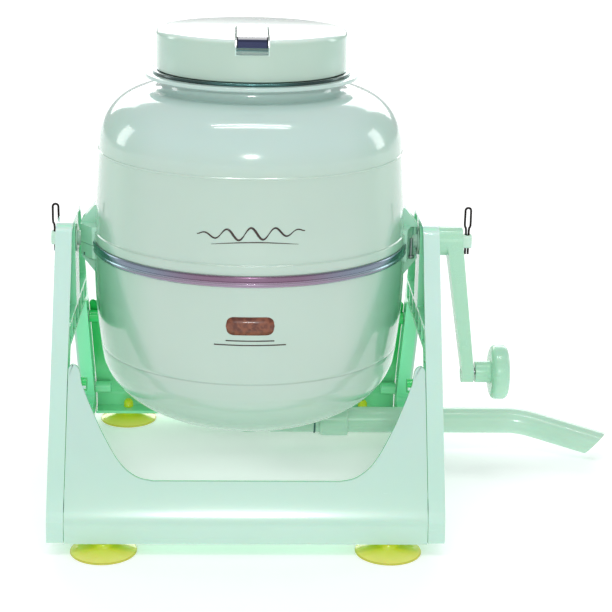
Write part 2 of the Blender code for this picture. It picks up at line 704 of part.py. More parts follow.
def lid_fittings():
    reach = LEVER_WIDTH / 2 + 0.0008
    pin = rod_x("lever_pin", LEVER_PIN_R, -reach, reach, sides=16)
    make_object("lever_pin", pin, "axle_steel", lever_seat)
    ring("lid_gasket", 0.0665, 0.0725, 0.3604, 0.3636, "dark_rubber", lid)
    plate = [
        (ROD_R + GAP, 0.3500), (0.0120, 0.3500), (0.0140, 0.3475), (PLATE_R, 0.3475), (PLATE_R, 0.3440),
        (ROD_R + GAP, 0.3440),
    ]
    make_object("pressure_plate", turned_mesh("pressure_plate", plate, 24), "mint_plastic", draw)
    seal = [
        (0.0500, 0.3555), (0.0585, 0.3555), (0.0620, 0.3530), (0.0620, 0.3505), (0.0585, 0.3480), (0.0500, 0.3480),
    ]
    make_object("plate_seal", turned_mesh("plate_seal", seal, 24), "dark_rubber", draw)
    rod = [
        (0.0, EYE_TOP), (EYE_R, EYE_TOP), (EYE_R, GROOVE_FLOOR), (ROD_R, GROOVE_FLOOR - 0.001), (ROD_R, 0.3436),
        (0.0075, 0.3436), (0.0075, 0.3410), (0.0, 0.3410),
    ]
    obj = make_object("draw_rod", turned_mesh("draw_rod", rod, 20), "axle_steel", draw)
    eye = rod_x("eye", LEVER_PIN_R + GAP, -0.02, 0.02, LEVER_AXIS_Y, LEVER_AXIS_Z, 16)
    apply_boolean(obj, [eye], "DIFFERENCE")


# ---- drive --------------------------------------------------------------------------------

FLAT = 0.0045
HUB_IN, HUB_OUT = 0.1537, 0.1755
ARM_LEAN = 0.0165
LEFT_PIN_X = 0.1582
RIGHT_PIN_X = 0.1790
PIN_WIRE_R, PIN_HOLE_R = 0.0009, 0.0027
KNOB_IN = 0.1920


def crank_arm():
    """A hub on the axle's flats and an arm that leans outwards down to the knob."""
    name = "crank_arm"
    arcs = []
    for k in range(13):
        angle = math.pi * k / 12
        arcs.append((0.0118 * math.cos(angle), 0.0118 * math.sin(angle)))
    for k in range(13):
        angle = math.pi + math.pi * k / 12
        arcs.append((0.0090 * math.cos(angle), -CRANK_RADIUS + 0.0090 * math.sin(angle)))
    mesh = placed(plate_mesh(name, arcs, 0.1630, 0.1760), ALONG_X)
    for vertex in mesh.vertices:
        share = min(max(-vertex.co.z / CRANK_RADIUS, 0.0), 1.0)
        middle = 0.1695 + ARM_LEAN * share
        vertex.co.x = middle + (vertex.co.x - 0.1695) * (1 - 0.23 * share)
    obj = make_object(name, mesh, "mint_plastic", drum, (-DRUM_SHIFT, 0, AXLE_Z))
    apply_boolean(obj, [rod_x("hub", 0.0120, HUB_IN, HUB_OUT, sides=32)], "UNION")
    slot = rod_x("bore", AXLE_R + GAP, 0.14, 0.19, sides=32)
    temp = bpy.data.objects.new("bore", slot)
    parts.objects.link(temp)
    sides = []
    for sign in (1, -1):
        flat = sorted((sign * (FLAT + GAP), sign * 0.01))
        sides.append(box_mesh("flat", (0.13, flat[0], -0.01), (0.2, flat[1], 0.01)))
    apply_boolean(temp, sides, "DIFFERENCE")
    bore = temp.data
    bpy.data.objects.remove(temp)
    hole = rod_x("pin_hole", 0.0026 + GAP, 0.17, 0.20, 0, -CRANK_RADIUS, 16)
    apply_boolean(obj, [bore, hole], "DIFFERENCE")
    return obj


def crank_knob():
    """A mushroom knob that spins on its pin, and the pin with its countersunk head."""
    rim_in, rim_out = 0.2030, 0.2200
    hole = 0.0026 + GAP
    profile = [
        (0.0070, rim_out), (0.0120, rim_out), (0.0190, rim_out - 0.0022), (0.0222, rim_out - 0.0056),
        (0.0230, rim_out - 0.0090), (0.0224, rim_in + 0.0016), (0.0205, rim_in), (0.0105, rim_in),
        (0.0090, rim_in - 0.0020), (0.0090, KNOB_IN + GAP), (hole, KNOB_IN + GAP),
        (hole, rim_out - 0.0060), (0.0070, rim_out - 0.0060),
    ]
    make_object("crank_knob", placed(turned_mesh("crank_knob", profile, 20), ALONG_X), "mint_plastic", knob)
    pin = [
        (0.0, rim_out - 0.0012), (0.0050, rim_out - 0.0016), (0.0064, rim_out - 0.0028),
        (0.0064, rim_out - 0.0060 + GAP), (0.0026, rim_out - 0.0060 + GAP), (0.0026, 0.1790), (0.0, 0.1790),
    ]
    make_object("knob_pin", placed(turned_mesh("knob_pin", pin, 20), ALONG_X), "axle_steel", knob_fixed)


def split_pin(name, parent):
    """A wire pin: an oval eye over two legs that pass through the axle's cross hole."""
    eye_half, eye_low, eye_high, leg_end = 0.0023, 0.0110, 0.0280, -0.0110
    lean = 0.00115
    straight = eye_high - eye_low - 2 * eye_half
    points = [(lean, 0, leg_end), (lean, 0, eye_low - 0.002)]
    points += [(eye_half, 0, eye_low + eye_half), (eye_half, 0, eye_low + eye_half + straight)]
    for k in range(1, 8):
        angle = math.pi * k / 8
        points.append((eye_half * math.cos(angle), 0, eye_high - eye_half + eye_half * math.sin(angle)))
    points += [(-x, y, z) for x, y, z in points[3::-1]]
    return make_object(name, wire_mesh(name, points, PIN_WIRE_R), "spring_wire", parent)


def bearing_bush(name, side):
    inner = STAND_HALF_WIDTH - FRAME_DEPTH
    bore = AXLE_R + GAP
    profile = [
        (bore, STAND_HALF_WIDTH), (BUSH_R, STAND_HALF_WIDTH), (BUSH_R, inner - GAP), (0.0115, inner - GAP),
        (0.0115, inner - 0.0011), (bore, inner - 0.0011),
    ]
    mesh = placed(turned_mesh(name, profile, 16), ALONG_X)
    return make_object(name, mesh, "white_acetal", root, (0, 0, AXLE_Z), (0, 0, 0 if side > 0 else math.pi))


# ---- drain tube ---------------------------------------------------------------------------

TUBE_LEFT, TUBE_BEND, TUBE_REACH = 0.0215, 0.247, 0.321
TUBE_FALL = (0.0680, -0.0280, -0.0118)


def tube_path(start, end_extra):
    """Points down the tube's middle: straight, a short bend, then the sloping spout."""
    run = Vector((1, 0, 0))
    spout = Vector(TUBE_FALL).normalized()
    corner = Vector((TUBE_BEND, TUBE_Y, TUBE_Z))
    soft = 0.010
    points = [Vector((start, TUBE_Y, TUBE_Z)), corner - run * soft * 2]
    for k in range(5):
        t = k / 4
        a, b = corner - run * soft, corner + spout * soft
        points.append(a * (1 - t) ** 2 + corner * 2 * t * (1 - t) + b * t ** 2)
    points.append(corner + spout * (0.0735 + end_extra))
    return [tuple(p) for p in points]


def drain_tube():
    name = "drain_tube"
    obj = make_object(name, wire_mesh(name, tube_path(TUBE_LEFT, 0.02), TUBE_R, 6), "mint_plastic", tube)
    bore = wire_mesh("bore", tube_path(TUBE_LEFT - 0.01, 0.03), TUBE_BORE, 6)
    apply_boolean(obj, [bore], "DIFFERENCE")
    groove = placed(turned_mesh("groove", [(TUBE_R - 0.0010, 0.0028), (0.014, 0.0028), (0.014, 0.0),
                                           (TUBE_R - 0.0010, 0.0)], 28),
                    Matrix.Translation((0.0600, TUBE_Y, TUBE_Z)) @ ALONG_X)
    slash = box_mesh("slash", (0, -0.05, -0.05), (0.08, 0.05, 0.05))
    slash.transform(Matrix.Translation((TUBE_REACH - 0.0135, TUBE_Y - 0.03, 0.010))
                    @ Matrix.Rotation(math.radians(-22), 4, "Z") @ Matrix.Rotation(math.radians(40), 4, "Y"))
    apply_boolean(obj, [groove, slash], "DIFFERENCE")
    return obj


def tube_fittings():
    here = Matrix.Translation((0, TUBE_Y, TUBE_Z)) @ ALONG_X
    collar = [
        (TUBE_R + GAP, 0.0912), (0.0136, 0.0912), (0.0145, 0.0900), (0.0145, 0.0690), (0.0136, 0.0660),
        (TUBE_R + GAP, 0.0660),
    ]
    make_object("tube_collar", placed(turned_mesh("tube_collar", collar, 20), here), "mint_plastic", tube)
    oring = [(TUBE_R - 0.0006, 0.0624), (TUBE_R + 0.0008, 0.0620), (TUBE_R + 0.0008, 0.0608), (TUBE_R - 0.0006, 0.0604)]
    make_object("tube_oring", placed(turned_mesh("tube_oring", oring, 20), here), "dark_rubber", tube)


# ---- assembly -----------------------------------------------------------------------------

clear_scene()
parts = collection(PARTS)
cutters = collection("cutters")

root = empty("washer", (-CENTRE_TO_ORIGIN, 0, 0))
drum = empty("drum_axis", (DRUM_SHIFT, 0, 0), root)
plug_slide = empty("plug_axis", (0, 0, PLUG_Z), drum)
lid = empty("lid_axis", (0, 0, 0), drum)
draw = empty("draw_axis", (0, 0, 0), lid)
lever_seat = empty("lever_seat", (0, LEVER_AXIS_Y, LEVER_AXIS_Z), draw)
lever = empty("lever_axis", (0, 0, 0), lever_seat)
knob_fixed = empty("knob_seat", (-DRUM_SHIFT, 0, AXLE_Z - CRANK_RADIUS), drum)
knob = empty("knob_axis", (0, 0, 0), knob_fixed)
tube = empty("tube_axis", (0, 0, 0), root)

side_frame("side_frame_left", -1)
side_frame("side_frame_right", 1)
panel("front_panel", -1)
panel("rear_panel", 1)
for row, sign_y in (("front", -1), ("rear", 1)):
    for hand, sign_x in (("left", -1), ("right", 1)):
        suction_cup(f"suction_cup_{row}_{hand}", sign_x * CUP_X, sign_y * CUP_Y)
        panel_screw(f"foot_screw_{row}_{hand}", sign_x, sign_y * FOOT_SCREW[0], FOOT_SCREW[1])
        panel_screw(f"horn_screw_{row}_{hand}", sign_x, sign_y * HORN_SCREW[0], HORN_SCREW[1])
        drum_screw(f"drum_screw_{row}_{hand}", sign_x * DRUM_SCREW_X, sign_y * DRUM_SCREW_Y)
    drum_band(f"drum_band_{row}", sign_y)
bearing_bush("bearing_bush_left", -1)
bearing_bush("bearing_bush_right", 1)

drum_lower_shell()
drum_upper_shell()
ring("drum_gasket", 0.1215, 0.1262, GASKET_LOW, GASKET_HIGH, "dark_rubber", drum)
ring("neck_ring", 0.0735, 0.0790, FLANGE_HIGH + 0.0003, LID_BOTTOM - 0.0003, "bright_metal", drum)
axle("left_axle", -1)
axle("right_axle", 1)
drain_valve()

lid_cap()
lid_lever()
lid_fittings()

crank_arm()
crank_knob()
pin_left = empty("left_pin_axis", (-LEFT_PIN_X, 0, AXLE_Z), drum)
pin_right = empty("right_pin_axis", (RIGHT_PIN_X, 0, AXLE_Z), drum)
split_pin("left_split_pin", pin_left)
split_pin("right_split_pin", pin_right)

drain_tube()
tube_fittings()
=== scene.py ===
"""Looks of a hand-cranked tumbling clothes washer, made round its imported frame.

Lengths are metres in the frame's own space: +X is towards the crank, -Y towards the user,
and Z = 0 is the table top. Every piece is built where it stands at rest.
"""

import math

import bmesh
import bpy
from mathutils import Matrix, Vector


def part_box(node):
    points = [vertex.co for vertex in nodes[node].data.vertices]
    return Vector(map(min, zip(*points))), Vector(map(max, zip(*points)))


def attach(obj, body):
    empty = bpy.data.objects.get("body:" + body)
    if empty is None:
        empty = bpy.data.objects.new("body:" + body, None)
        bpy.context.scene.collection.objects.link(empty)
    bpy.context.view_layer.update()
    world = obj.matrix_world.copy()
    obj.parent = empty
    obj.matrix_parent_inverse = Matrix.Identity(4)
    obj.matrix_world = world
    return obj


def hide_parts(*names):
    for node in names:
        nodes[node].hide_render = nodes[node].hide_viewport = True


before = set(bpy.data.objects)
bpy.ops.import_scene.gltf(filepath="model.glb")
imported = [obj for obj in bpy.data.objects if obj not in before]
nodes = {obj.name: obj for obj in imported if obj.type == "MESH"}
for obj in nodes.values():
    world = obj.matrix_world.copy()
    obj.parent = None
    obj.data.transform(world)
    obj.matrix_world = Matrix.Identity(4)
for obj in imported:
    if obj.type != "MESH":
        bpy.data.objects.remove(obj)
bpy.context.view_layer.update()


def centre(node):
    low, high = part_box(node)
    return (low + high) / 2


# ---- places and sizes, from the frame ------------------------------------------------------

STAND_LEFT, STAND_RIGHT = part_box("side_frame_left")[0].x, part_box("side_frame_right")[1].x
STAND_X = (STAND_LEFT + STAND_RIGHT) / 2
STAND_HALF = (STAND_RIGHT - STAND_LEFT) / 2
FOOT_Z, STAND_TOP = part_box("side_frame_left")[0].z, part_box("side_frame_left")[1].z
FOOT_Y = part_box("side_frame_left")[1].y
DRUM_X = centre("neck_ring").x
AXLE_Z = centre("left_axle").z
SEAM_Z = centre("drum_gasket").z
KNOB_Z = centre("knob_pin").z
TUBE_Y, TUBE_Z = centre("tube_collar").y, centre("tube_collar").z
MID = Vector((DRUM_X, 0, 0))

KNEE_Z, KNEE_SOFT, LEG_SLOPE = 0.026, 0.008, 0.575   # the bend low on the stand, and the legs' lean
SKIN = 0.0025                                        # moulded wall of the stand
WALL = 0.0028                                        # moulded wall of the drum
VALVE_R = 0.0160                                     # drain valve's round body
CUP_R = 0.0258                                       # suction cup's rim
BOWL_SEAM_Z, SHOULDER_SEAM_Z = 0.1284, 0.2888        # fine lines round the bowl and the dome
CORNERS = [(row, hand) for row in ("front", "rear") for hand in ("left", "right")]


def leg_depth(height):
    """How far the stand's sloping face is from the middle at a height, with its soft knee."""
    rise = height - KNEE_Z
    return FOOT_Y - (rise + (rise * rise + KNEE_SOFT ** 2) ** 0.5) * (LEG_SLOPE / 2)


# ---- shaping tools -------------------------------------------------------------------------

def rounded(corners, steps=5):
    """An outline with each (u, v, radius) corner turned into an arc; radius 0 keeps it sharp."""
    outline = []
    for i, (u, v, radius) in enumerate(corners):
        here = Vector((u, v))
        before = (Vector(corners[i - 1][:2]) - here).normalized()
        after = (Vector(corners[(i + 1) % len(corners)][:2]) - here).normalized()
        if radius == 0:
            outline.append((u, v))
            continue
        half = before.angle(after) / 2
        middle = here + (before + after).normalized() * (radius / math.sin(half))
        start = here + before * (radius / math.tan(half)) - middle
        turn = start.angle_signed(here + after * (radius / math.tan(half)) - middle)
        for step in range(steps + 1):
            angle = -turn * step / steps
            outline.append((
                middle.x + start.x * math.cos(angle) - start.y * math.sin(angle),
                middle.y + start.x * math.sin(angle) + start.y * math.cos(angle),
            ))
    return outline


def flowing(points, steps=6):
    """A smooth curve through points of any size, as a denser list."""
    points = [Vector(p) for p in points]
    ends = [points[0] * 2 - points[1]] + points + [points[-1] * 2 - points[-2]]
    made = []
    for a, b, c, d in zip(ends, ends[1:], ends[2:], ends[3:]):
        for k in range(steps):
            t = k / steps
            made.append(0.5 * (2 * b + (c - a) * t + (2 * a - 5 * b + 4 * c - d) * t ** 2
                               + (3 * b - a - 3 * c + d) * t ** 3))
    return [tuple(p) for p in made + [points[-1]]]


def seamed(outline, z, shape):
    """A falling outline with a small relief let into it round height z: shape is (height, depth) steps."""
    top, low = z + shape[0][0], z + shape[-1][0]

    def radius(height):
        for (r1, z1), (r2, z2) in zip(outline, outline[1:]):
            if z2 <= height <= z1 and z1 > z2:
                return r1 + (r2 - r1) * (z1 - height) / (z1 - z2)
        return outline[-1][0]

    above = [p for p in outline if p[1] > top]
    below = [p for p in outline if p[1] < low]
    return above + [(radius(z + dz) + depth, z + dz) for dz, depth in shape] + below


def shaded(mesh, angle=38):
    mesh.shade_smooth()
    mesh.set_sharp_from_angle(angle=math.radians(angle))
    return mesh


def as_mesh(work, name):
    """Give a worked shape back as a mesh, with its faces turned outwards."""
    bmesh.ops.recalc_face_normals(work, faces=work.faces)
    mesh = bpy.data.meshes.new(name)
    work.to_mesh(mesh)
    work.free()
    return mesh


def placed(name, data, place=(0, 0, 0)):
    """A new object in the scene."""
    obj = bpy.data.objects.new(name, data)
    bpy.context.scene.collection.objects.link(obj)
    obj.location = place
    return obj


def turned(name, outline, sides, arc=None):
    """Turn a closed (radius, height) outline about Z, all the way or from one angle to another."""
    start, end = arc or (0.0, 2 * math.pi)
    count = sides if arc is None else sides + 1
    angles = [start + (end - start) * k / sides for k in range(count)]
    work = bmesh.new()
    rings = []
    for r, z in outline:
        if r < 1e-6:
            rings.append([work.verts.new((0, 0, z))] * count)
        else:
            rings.append([work.verts.new((r * math.cos(a), r * math.sin(a), z)) for a in angles])
    for near, far in zip(rings, rings[1:] + rings[:1]):
        for k in range(sides):
            j = (k + 1) % count
            corners = list(dict.fromkeys((near[k], near[j], far[j], far[k])))
            if len(corners) > 2:
                work.faces.new(corners)
    if arc is not None:
        work.faces.new([ring[0] for ring in rings])
        work.faces.new([ring[-1] for ring in rings])
    return shaded(as_mesh(work, name))


def plate(name, outline, low, high):
    """A flat outline of (u, v) points made solid from height low to height high."""
    work = bmesh.new()
    face = work.faces.new([work.verts.new((u, v, low)) for u, v in outline])
    grown = bmesh.ops.extrude_face_region(work, geom=[face])["geom"]
    raised = [part for part in grown if isinstance(part, bmesh.types.BMVert)]
    bmesh.ops.translate(work, vec=(0, 0, high - low), verts=raised)
    return as_mesh(work, name)


def round_bar(name, radius, start, end, sides):
    """A plain round bar along Z."""
    return turned(name, [(0.0, end), (radius, end), (radius, start), (0.0, start)], sides)


def block(name, low, high):
    corners = [(low[0], low[1]), (high[0], low[1]), (high[0], high[1]), (low[0], high[1])]
    return plate(name, corners, low[2], high[2])


def swept(name, path, radii, sides, end_plane):
    """A pipe along a path: radii is (outer, bore), and the far end is cut by (point, normal)."""
    point, normal = end_plane
    work = bmesh.new()
    path = [Vector(p) for p in path]
    skins = []
    for radius in radii:
        rings = []
        for k, here in enumerate(path):
            along = (path[min(k + 1, len(path) - 1)] - path[max(k - 1, 0)]).normalized()
            across = along.cross(Vector((0, 0, 1))).normalized()
            rise = across.cross(along)
            ring = []
            for s in range(sides):
                angle = 2 * math.pi * s / sides
                place = here + across * (radius * math.cos(angle)) + rise * (radius * math.sin(angle))
                if k == len(path) - 1:
                    place += along * ((point - place).dot(normal) / along.dot(normal))
                ring.append(work.verts.new(place))
            rings.append(ring)
        skins.append(rings)
    outer, bore = skins
    ends = [(outer[0], bore[0]), (outer[-1], bore[-1])]
    for near, far in list(zip(outer, outer[1:])) + list(zip(bore, bore[1:])) + ends:
        for s in range(sides):
            j = (s + 1) % sides
            work.faces.new((near[s], near[j], far[j], far[s]))
    return shaded(as_mesh(work, name), 50)


ALONG_X = Matrix(((0, 0, 1, 0), (1, 0, 0, 0), (0, 1, 0, 0), (0, 0, 0, 1)))    # (u, v, w) to (Y, Z, X)
ALONG_Y = Matrix(((1, 0, 0, 0), (0, 0, -1, 0), (0, 1, 0, 0), (0, 0, 0, 1)))   # (u, v, w) to (X, Z, -Y)


def moved(mesh, place=(0, 0, 0), turn=None):
    mesh.transform(Matrix.Translation(place) @ (turn or Matrix.Identity(4)))
    if (turn or Matrix.Identity(4)).determinant() < 0:
        mesh.flip_normals()
    return mesh


def carve(mesh, tools, operation="DIFFERENCE"):
    """Cut meshes out of a mesh, or join them to it, and give back the result."""
    body = placed("work", mesh)
    helpers = [placed("tool", tool) for tool in tools]
    for helper in helpers:
        cut = body.modifiers.new("cut", "BOOLEAN")
        cut.object, cut.operation = helper, operation
    bpy.context.view_layer.update()
    result = bpy.data.meshes.new_from_object(body.evaluated_get(bpy.context.evaluated_depsgraph_get()))
    for obj in [body] + helpers:
        bpy.data.objects.remove(obj)
    return result


def soften(obj, width, steps=2, angle=35):
    """Round an object's sharp edges as a mould leaves them."""
    weld = obj.modifiers.new("weld", "WELD")
    weld.merge_threshold = 0.000005
    bevel = obj.modifiers.new("edges", "BEVEL")
    bevel.width, bevel.segments = width, steps
    bevel.limit_method = "ANGLE"
    bevel.angle_limit = math.radians(angle)
    bevel.use_clamp_overlap = True
    bevel.harden_normals = True
    return obj


def piece(name, mesh, finish, body, stands_for=(), place=(0, 0, 0)):
    """One shown piece: its material, the body it rides on and the frame pieces that it stands for."""
    obj = placed(name, mesh, place)
    mesh.materials.clear()
    mesh.materials.append(finish)
    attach(obj, body)
    if stands_for:
        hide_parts(*stands_for)
    return obj


# ---- finishes ------------------------------------------------------------------------------

class Amount:
    """A value that changes over a surface: one socket of a node, with arithmetic."""

    def __init__(self, finish, socket):
        self.finish, self.socket = finish, socket

    def maths(self, operation, first, second=0.0):
        return self.finish.node("ShaderNodeMath", {"operation": operation}, {0: first, 1: second})

    def __add__(self, other):
        return self.maths("ADD", self, other)

    __radd__ = __add__

    def __sub__(self, other):
        return self.maths("SUBTRACT", self, other)

    def __rsub__(self, other):
        return self.maths("SUBTRACT", other, self)

    def __mul__(self, other):
        return self.maths("MULTIPLY", self, other)

    def __pow__(self, other):
        return self.maths("POWER", self, other)

    def __abs__(self):
        return self.maths("ABSOLUTE", self)

    def ramp(self, low, high):
        """0 below low, 1 above high, and smooth between; low may be the larger."""
        settings = {"interpolation_type": "SMOOTHSTEP", "clamp": True}
        return self.finish.node("ShaderNodeMapRange", settings,
                                {"Value": self, "From Min": low, "From Max": high}, "Result")


class Finish:
    """One material and the nodes that vary its colour, gloss and relief."""

    def __init__(self, name, **constants):
        self.material = bpy.data.materials.new(name)
        self.material.use_nodes = True
        self.tree = self.material.node_tree
        self.shader = self.tree.nodes["Principled BSDF"]
        for socket, value in constants.items():
            self.shader.inputs[socket.replace("_", " ")].default_value = value

    def node(self, kind, settings, inputs, output=0):
        """Make a node: its settings first, then each socket's value or link."""
        made = self.tree.nodes.new(kind)
        for setting, value in settings.items():
            setattr(made, setting, value)
        for socket, value in inputs.items():
            self.feed(made.inputs[socket], value)
        return Amount(self, made.outputs[output])

    def feed(self, socket, value):
        if isinstance(value, Amount):
            self.tree.links.new(value.socket, socket)
        else:
            socket.default_value = value

    def surface(self, **inputs):
        for socket, value in inputs.items():
            self.feed(self.shader.inputs[socket.replace("_", " ")], value)

    def place(self):
        """Where a point is on its own piece, as x, y and z, with the joined vector first."""
        here = self.node("ShaderNodeTexCoord", {}, {}, "Object")
        split = self.node("ShaderNodeSeparateXYZ", {}, {0: here}).socket.node
        return [here] + [Amount(self, split.outputs[axis]) for axis in "XYZ"]

    def noise(self, here, scale, detail=2.0, stretch=(1, 1, 1)):
        spread = self.node("ShaderNodeVectorMath", {"operation": "MULTIPLY"}, {0: here, 1: stretch})
        return self.node("ShaderNodeTexNoise", {}, {"Vector": spread, "Scale": scale, "Detail": detail}, 0)

    def blend(self, share, first, second):
        """A colour from first at share 0 to second at share 1."""
        made = self.tree.nodes.new("ShaderNodeMix")
        made.data_type = "RGBA"
        self.feed(made.inputs["Factor"], share)
        for socket, colour in ((made.inputs[6], first), (made.inputs[7], second)):
            self.feed(socket, colour if isinstance(colour, Amount) else (*colour, 1.0))
        return Amount(self, made.outputs[2])

    def relief(self, height, strength, depth):
        bump = self.node("ShaderNodeBump", {}, {"Strength": strength, "Distance": depth, "Height": height})
        self.feed(self.shader.inputs["Normal"], bump)


def srgb(red, green, blue):
    """A display colour of 0 to 255 as the shader's own light values."""
    def light(level):
        level /= 255
        return level / 12.92 if level <= 0.04045 else ((level + 0.055) / 1.055) ** 2.4
    return light(red), light(green), light(blue)


def moulded(finish, base, shade, gloss, here):
    """Moulded plastic: slight clouding, fine grain, and hairline scuffs that dull the gloss."""
    cloud = finish.noise(here, 16.0, 3.0).ramp(0.30, 0.70)
    grain = finish.noise(here, 1400.0, 2.0)
    scuffs = finish.noise(here, 90.0, 5.0, (1.0, 1.0, 9.0)).ramp(0.62, 0.80)
    colour = finish.blend(cloud, base, shade)
    finish.surface(Base_Color=colour, Roughness=gloss + cloud * 0.035 + scuffs * 0.09 + grain * 0.03)
    finish.relief(grain * 0.6 + cloud * 0.4, 0.10, 0.00006)
    return colour


MINT = {"IOR": 1.5, "Subsurface_Weight": 0.15, "Subsurface_Scale": 0.004}
DRUM_GLOSS = {"IOR": 1.5, "Coat_Weight": 0.6, "Subsurface_Weight": 0.08, "Subsurface_Scale": 0.004}


def make_side_finish():
    """Side frames: pale mint outside, paler higher up as painted light from above, and a saturated green on
    the trays that face the drum, painted light bounced between and passed through the green plastic.
    """
    finish = Finish("mint_side_plastic", Coat_Weight=0.35, Coat_Roughness=0.06, **MINT)
    here, x, y, z = finish.place()
    # painted light: mask of the tray faces turned to the drum, where a green glow of bounced and
    # passed-through light is painted
    painted_glow_mask = (leg_depth(z) - abs(y)).ramp(0.0006, 0.0022)
    painted_glow_mask = painted_glow_mask * abs(x - STAND_X).ramp(STAND_HALF - 0.0012, STAND_HALF - 0.0026)
    painted_glow_mask = painted_glow_mask * z.ramp(FOOT_Z + 0.0004, FOOT_Z + 0.002) * z.ramp(STAND_TOP - 0.0006, STAND_TOP - 0.002)
    # paler higher up: painted light from above on the outer faces
    outer = finish.blend(z.ramp(0.06, 0.20), srgb(197, 232, 218), srgb(206, 236, 227))
    # painted light: saturated green glow on the trays, paler higher up
    deep = finish.blend(z.ramp(0.10, 0.19), srgb(150, 248, 195), srgb(182, 255, 218))
    skin = finish.blend(painted_glow_mask, outer, deep)
    moulded(finish, skin, finish.blend(0.06, skin, srgb(120, 190, 165)), 0.20, here)
    return finish.material


def make_panel_finish():
    """Front and rear panels: pale mint outside, and on the faces that look inwards a painted green light,
    bounced between and passed through the plastic, more saturated higher up.
    """
    finish = Finish("mint_panel_plastic", Coat_Weight=0.45, Coat_Roughness=0.05, **MINT)
    here, _, y, z = finish.place()
    # painted light: mask of the faces that look inwards
    inner = (leg_depth(z) - abs(y)).ramp(0.0012, 0.0027)
    outer = finish.blend(z.ramp(0.02, 0.10), srgb(197, 231, 215), srgb(196, 226, 216))
    # painted light: green glow on the inward faces, more saturated higher up
    deep = finish.blend(z.ramp(0.03, 0.080), srgb(150, 240, 188), srgb(44, 206, 104))
    skin = finish.blend(inner, outer, deep)
    moulded(finish, skin, finish.blend(0.06, skin, srgb(120, 190, 165)), 0.18, here)
    return finish.material


def make_mint_finish(name, base, shade, gloss):
    """The smaller mint parts: knob, tube, valve, lugs, bushes and axles."""
    finish = Finish(name, Coat_Weight=0.3, Coat_Roughness=0.08, **MINT)
    here = finish.place()[0]
    moulded(finish, srgb(*base), srgb(*shade), gloss, here)
    return finish.material


def make_arm_finish():
    """The crank arm: mint, with painted shade, a deeper green, on the narrow face towards the stand."""
    finish = Finish("mint_arm_plastic", Coat_Weight=0.3, Coat_Roughness=0.08, **MINT)
    here = finish.place()[0]
    # painted shade: a darker green on the face that turns towards the stand
    facing = finish.node("ShaderNodeNewGeometry", {}, {}, "Normal")
    painted_shade_inward = finish.node("ShaderNodeSeparateXYZ", {}, {0: facing}, "X").ramp(-0.5, -0.9)
    skin = finish.blend(painted_shade_inward * 0.8, srgb(180, 224, 198), srgb(120, 205, 155))
    moulded(finish, skin, finish.blend(0.08, skin, srgb(130, 200, 165)), 0.24, here)
    return finish.material


def make_drum_finish():
    """The drum: grey-mint, a little greener low on the bowl, with painted light from above where the dome
    turns upward and painted shade at its flanks, stronger below the seam.
    """
    finish = Finish("drum_gloss_plastic", Coat_Roughness=0.04, **DRUM_GLOSS)
    here, x, _, z = finish.place()
    # painted shade: darker, greener flanks, stronger below the seam
    painted_flank_shade = abs(x - DRUM_X).ramp(0.068, 0.122)
    body = finish.blend(z.ramp(0.060, 0.135), srgb(178, 212, 194), srgb(190, 211, 199))
    # painted light from above: paler and bluer where the dome turns upward
    body = finish.blend(z.ramp(0.285, 0.315), body, srgb(194, 217, 211))
    below = z.ramp(SEAM_Z + 0.02, SEAM_Z - 0.01)
    body = finish.blend(painted_flank_shade * (below * 0.55 + 0.35), body, srgb(128, 192, 158))
    seam = abs(z - BOWL_SEAM_Z).ramp(0.0009, 0.0003)
    body = finish.blend(seam * 0.30, body, srgb(120, 140, 130))
    moulded(finish, body, finish.blend(0.05, body, srgb(150, 180, 170)), 0.13, here)
    return finish.material


def make_lid_finish():
    """The lid: plastic like the drum's, with painted light on its top and in the finger recess, and painted
    shade towards its sides.
    """
    finish = Finish("lid_gloss_plastic", Coat_Roughness=0.05, **DRUM_GLOSS)
    here, x, y, z = finish.place()
    # painted shade: a little darker towards the sides
    side = abs(x - DRUM_X).ramp(0.040, 0.076)
    body = finish.blend(side * 0.8, srgb(186, 210, 196), srgb(174, 210, 194))
    # painted light: the top face is painted near-white
    body = finish.blend(z.ramp(0.381, 0.3848), body, srgb(228, 244, 238))
    # painted light: the finger recess is lightened to lift the shade on its steep walls
    recess = abs(x - DRUM_X).ramp(0.0132, 0.0126) * y.ramp(-0.0650, -0.0660) * z.ramp(0.3722, 0.3736)
    body = finish.blend(recess * y.ramp(-0.0752, -0.0744), body, srgb(222, 250, 244))
    moulded(finish, body, finish.blend(0.05, body, srgb(150, 180, 170)), 0.14, here)
    return finish.material


def make_vinyl_finish():
    """Suction cups: clear lime vinyl, denser at the neck, with a darker line along the rim and a faint
    painted glow from emission.
    """
    # painted glow: the emission lets the cups give off a faint lime light of their own
    finish = Finish("lime_vinyl", IOR=1.45, Coat_Weight=0.5, Coat_Roughness=0.08,
                    Subsurface_Weight=0.55, Subsurface_Scale=0.010, Transmission_Weight=0.12,
                    Emission_Color=(0.55, 0.68, 0.03, 1.0), Emission_Strength=0.16)
    here, x, y = finish.place()[:3]
    radius = (x * x + y * y) ** 0.5
    cloud = finish.noise(here, 60.0, 3.0)
    dish = finish.blend(radius.ramp(0.008, 0.026), srgb(196, 216, 52), srgb(222, 224, 120))
    dish = finish.blend(radius.ramp(0.0100, 0.0060), dish, srgb(200, 216, 8))
    dish = finish.blend(radius.ramp(0.0248, 0.0254) * 0.75, dish, srgb(150, 158, 50))
    dish = finish.blend(cloud * 0.25, dish, srgb(196, 204, 70))
    finish.surface(Base_Color=dish, Roughness=0.16 + cloud * 0.12)
    finish.relief(finish.noise(here, 500.0, 3.0), 0.15, 0.00008)
    return finish.material


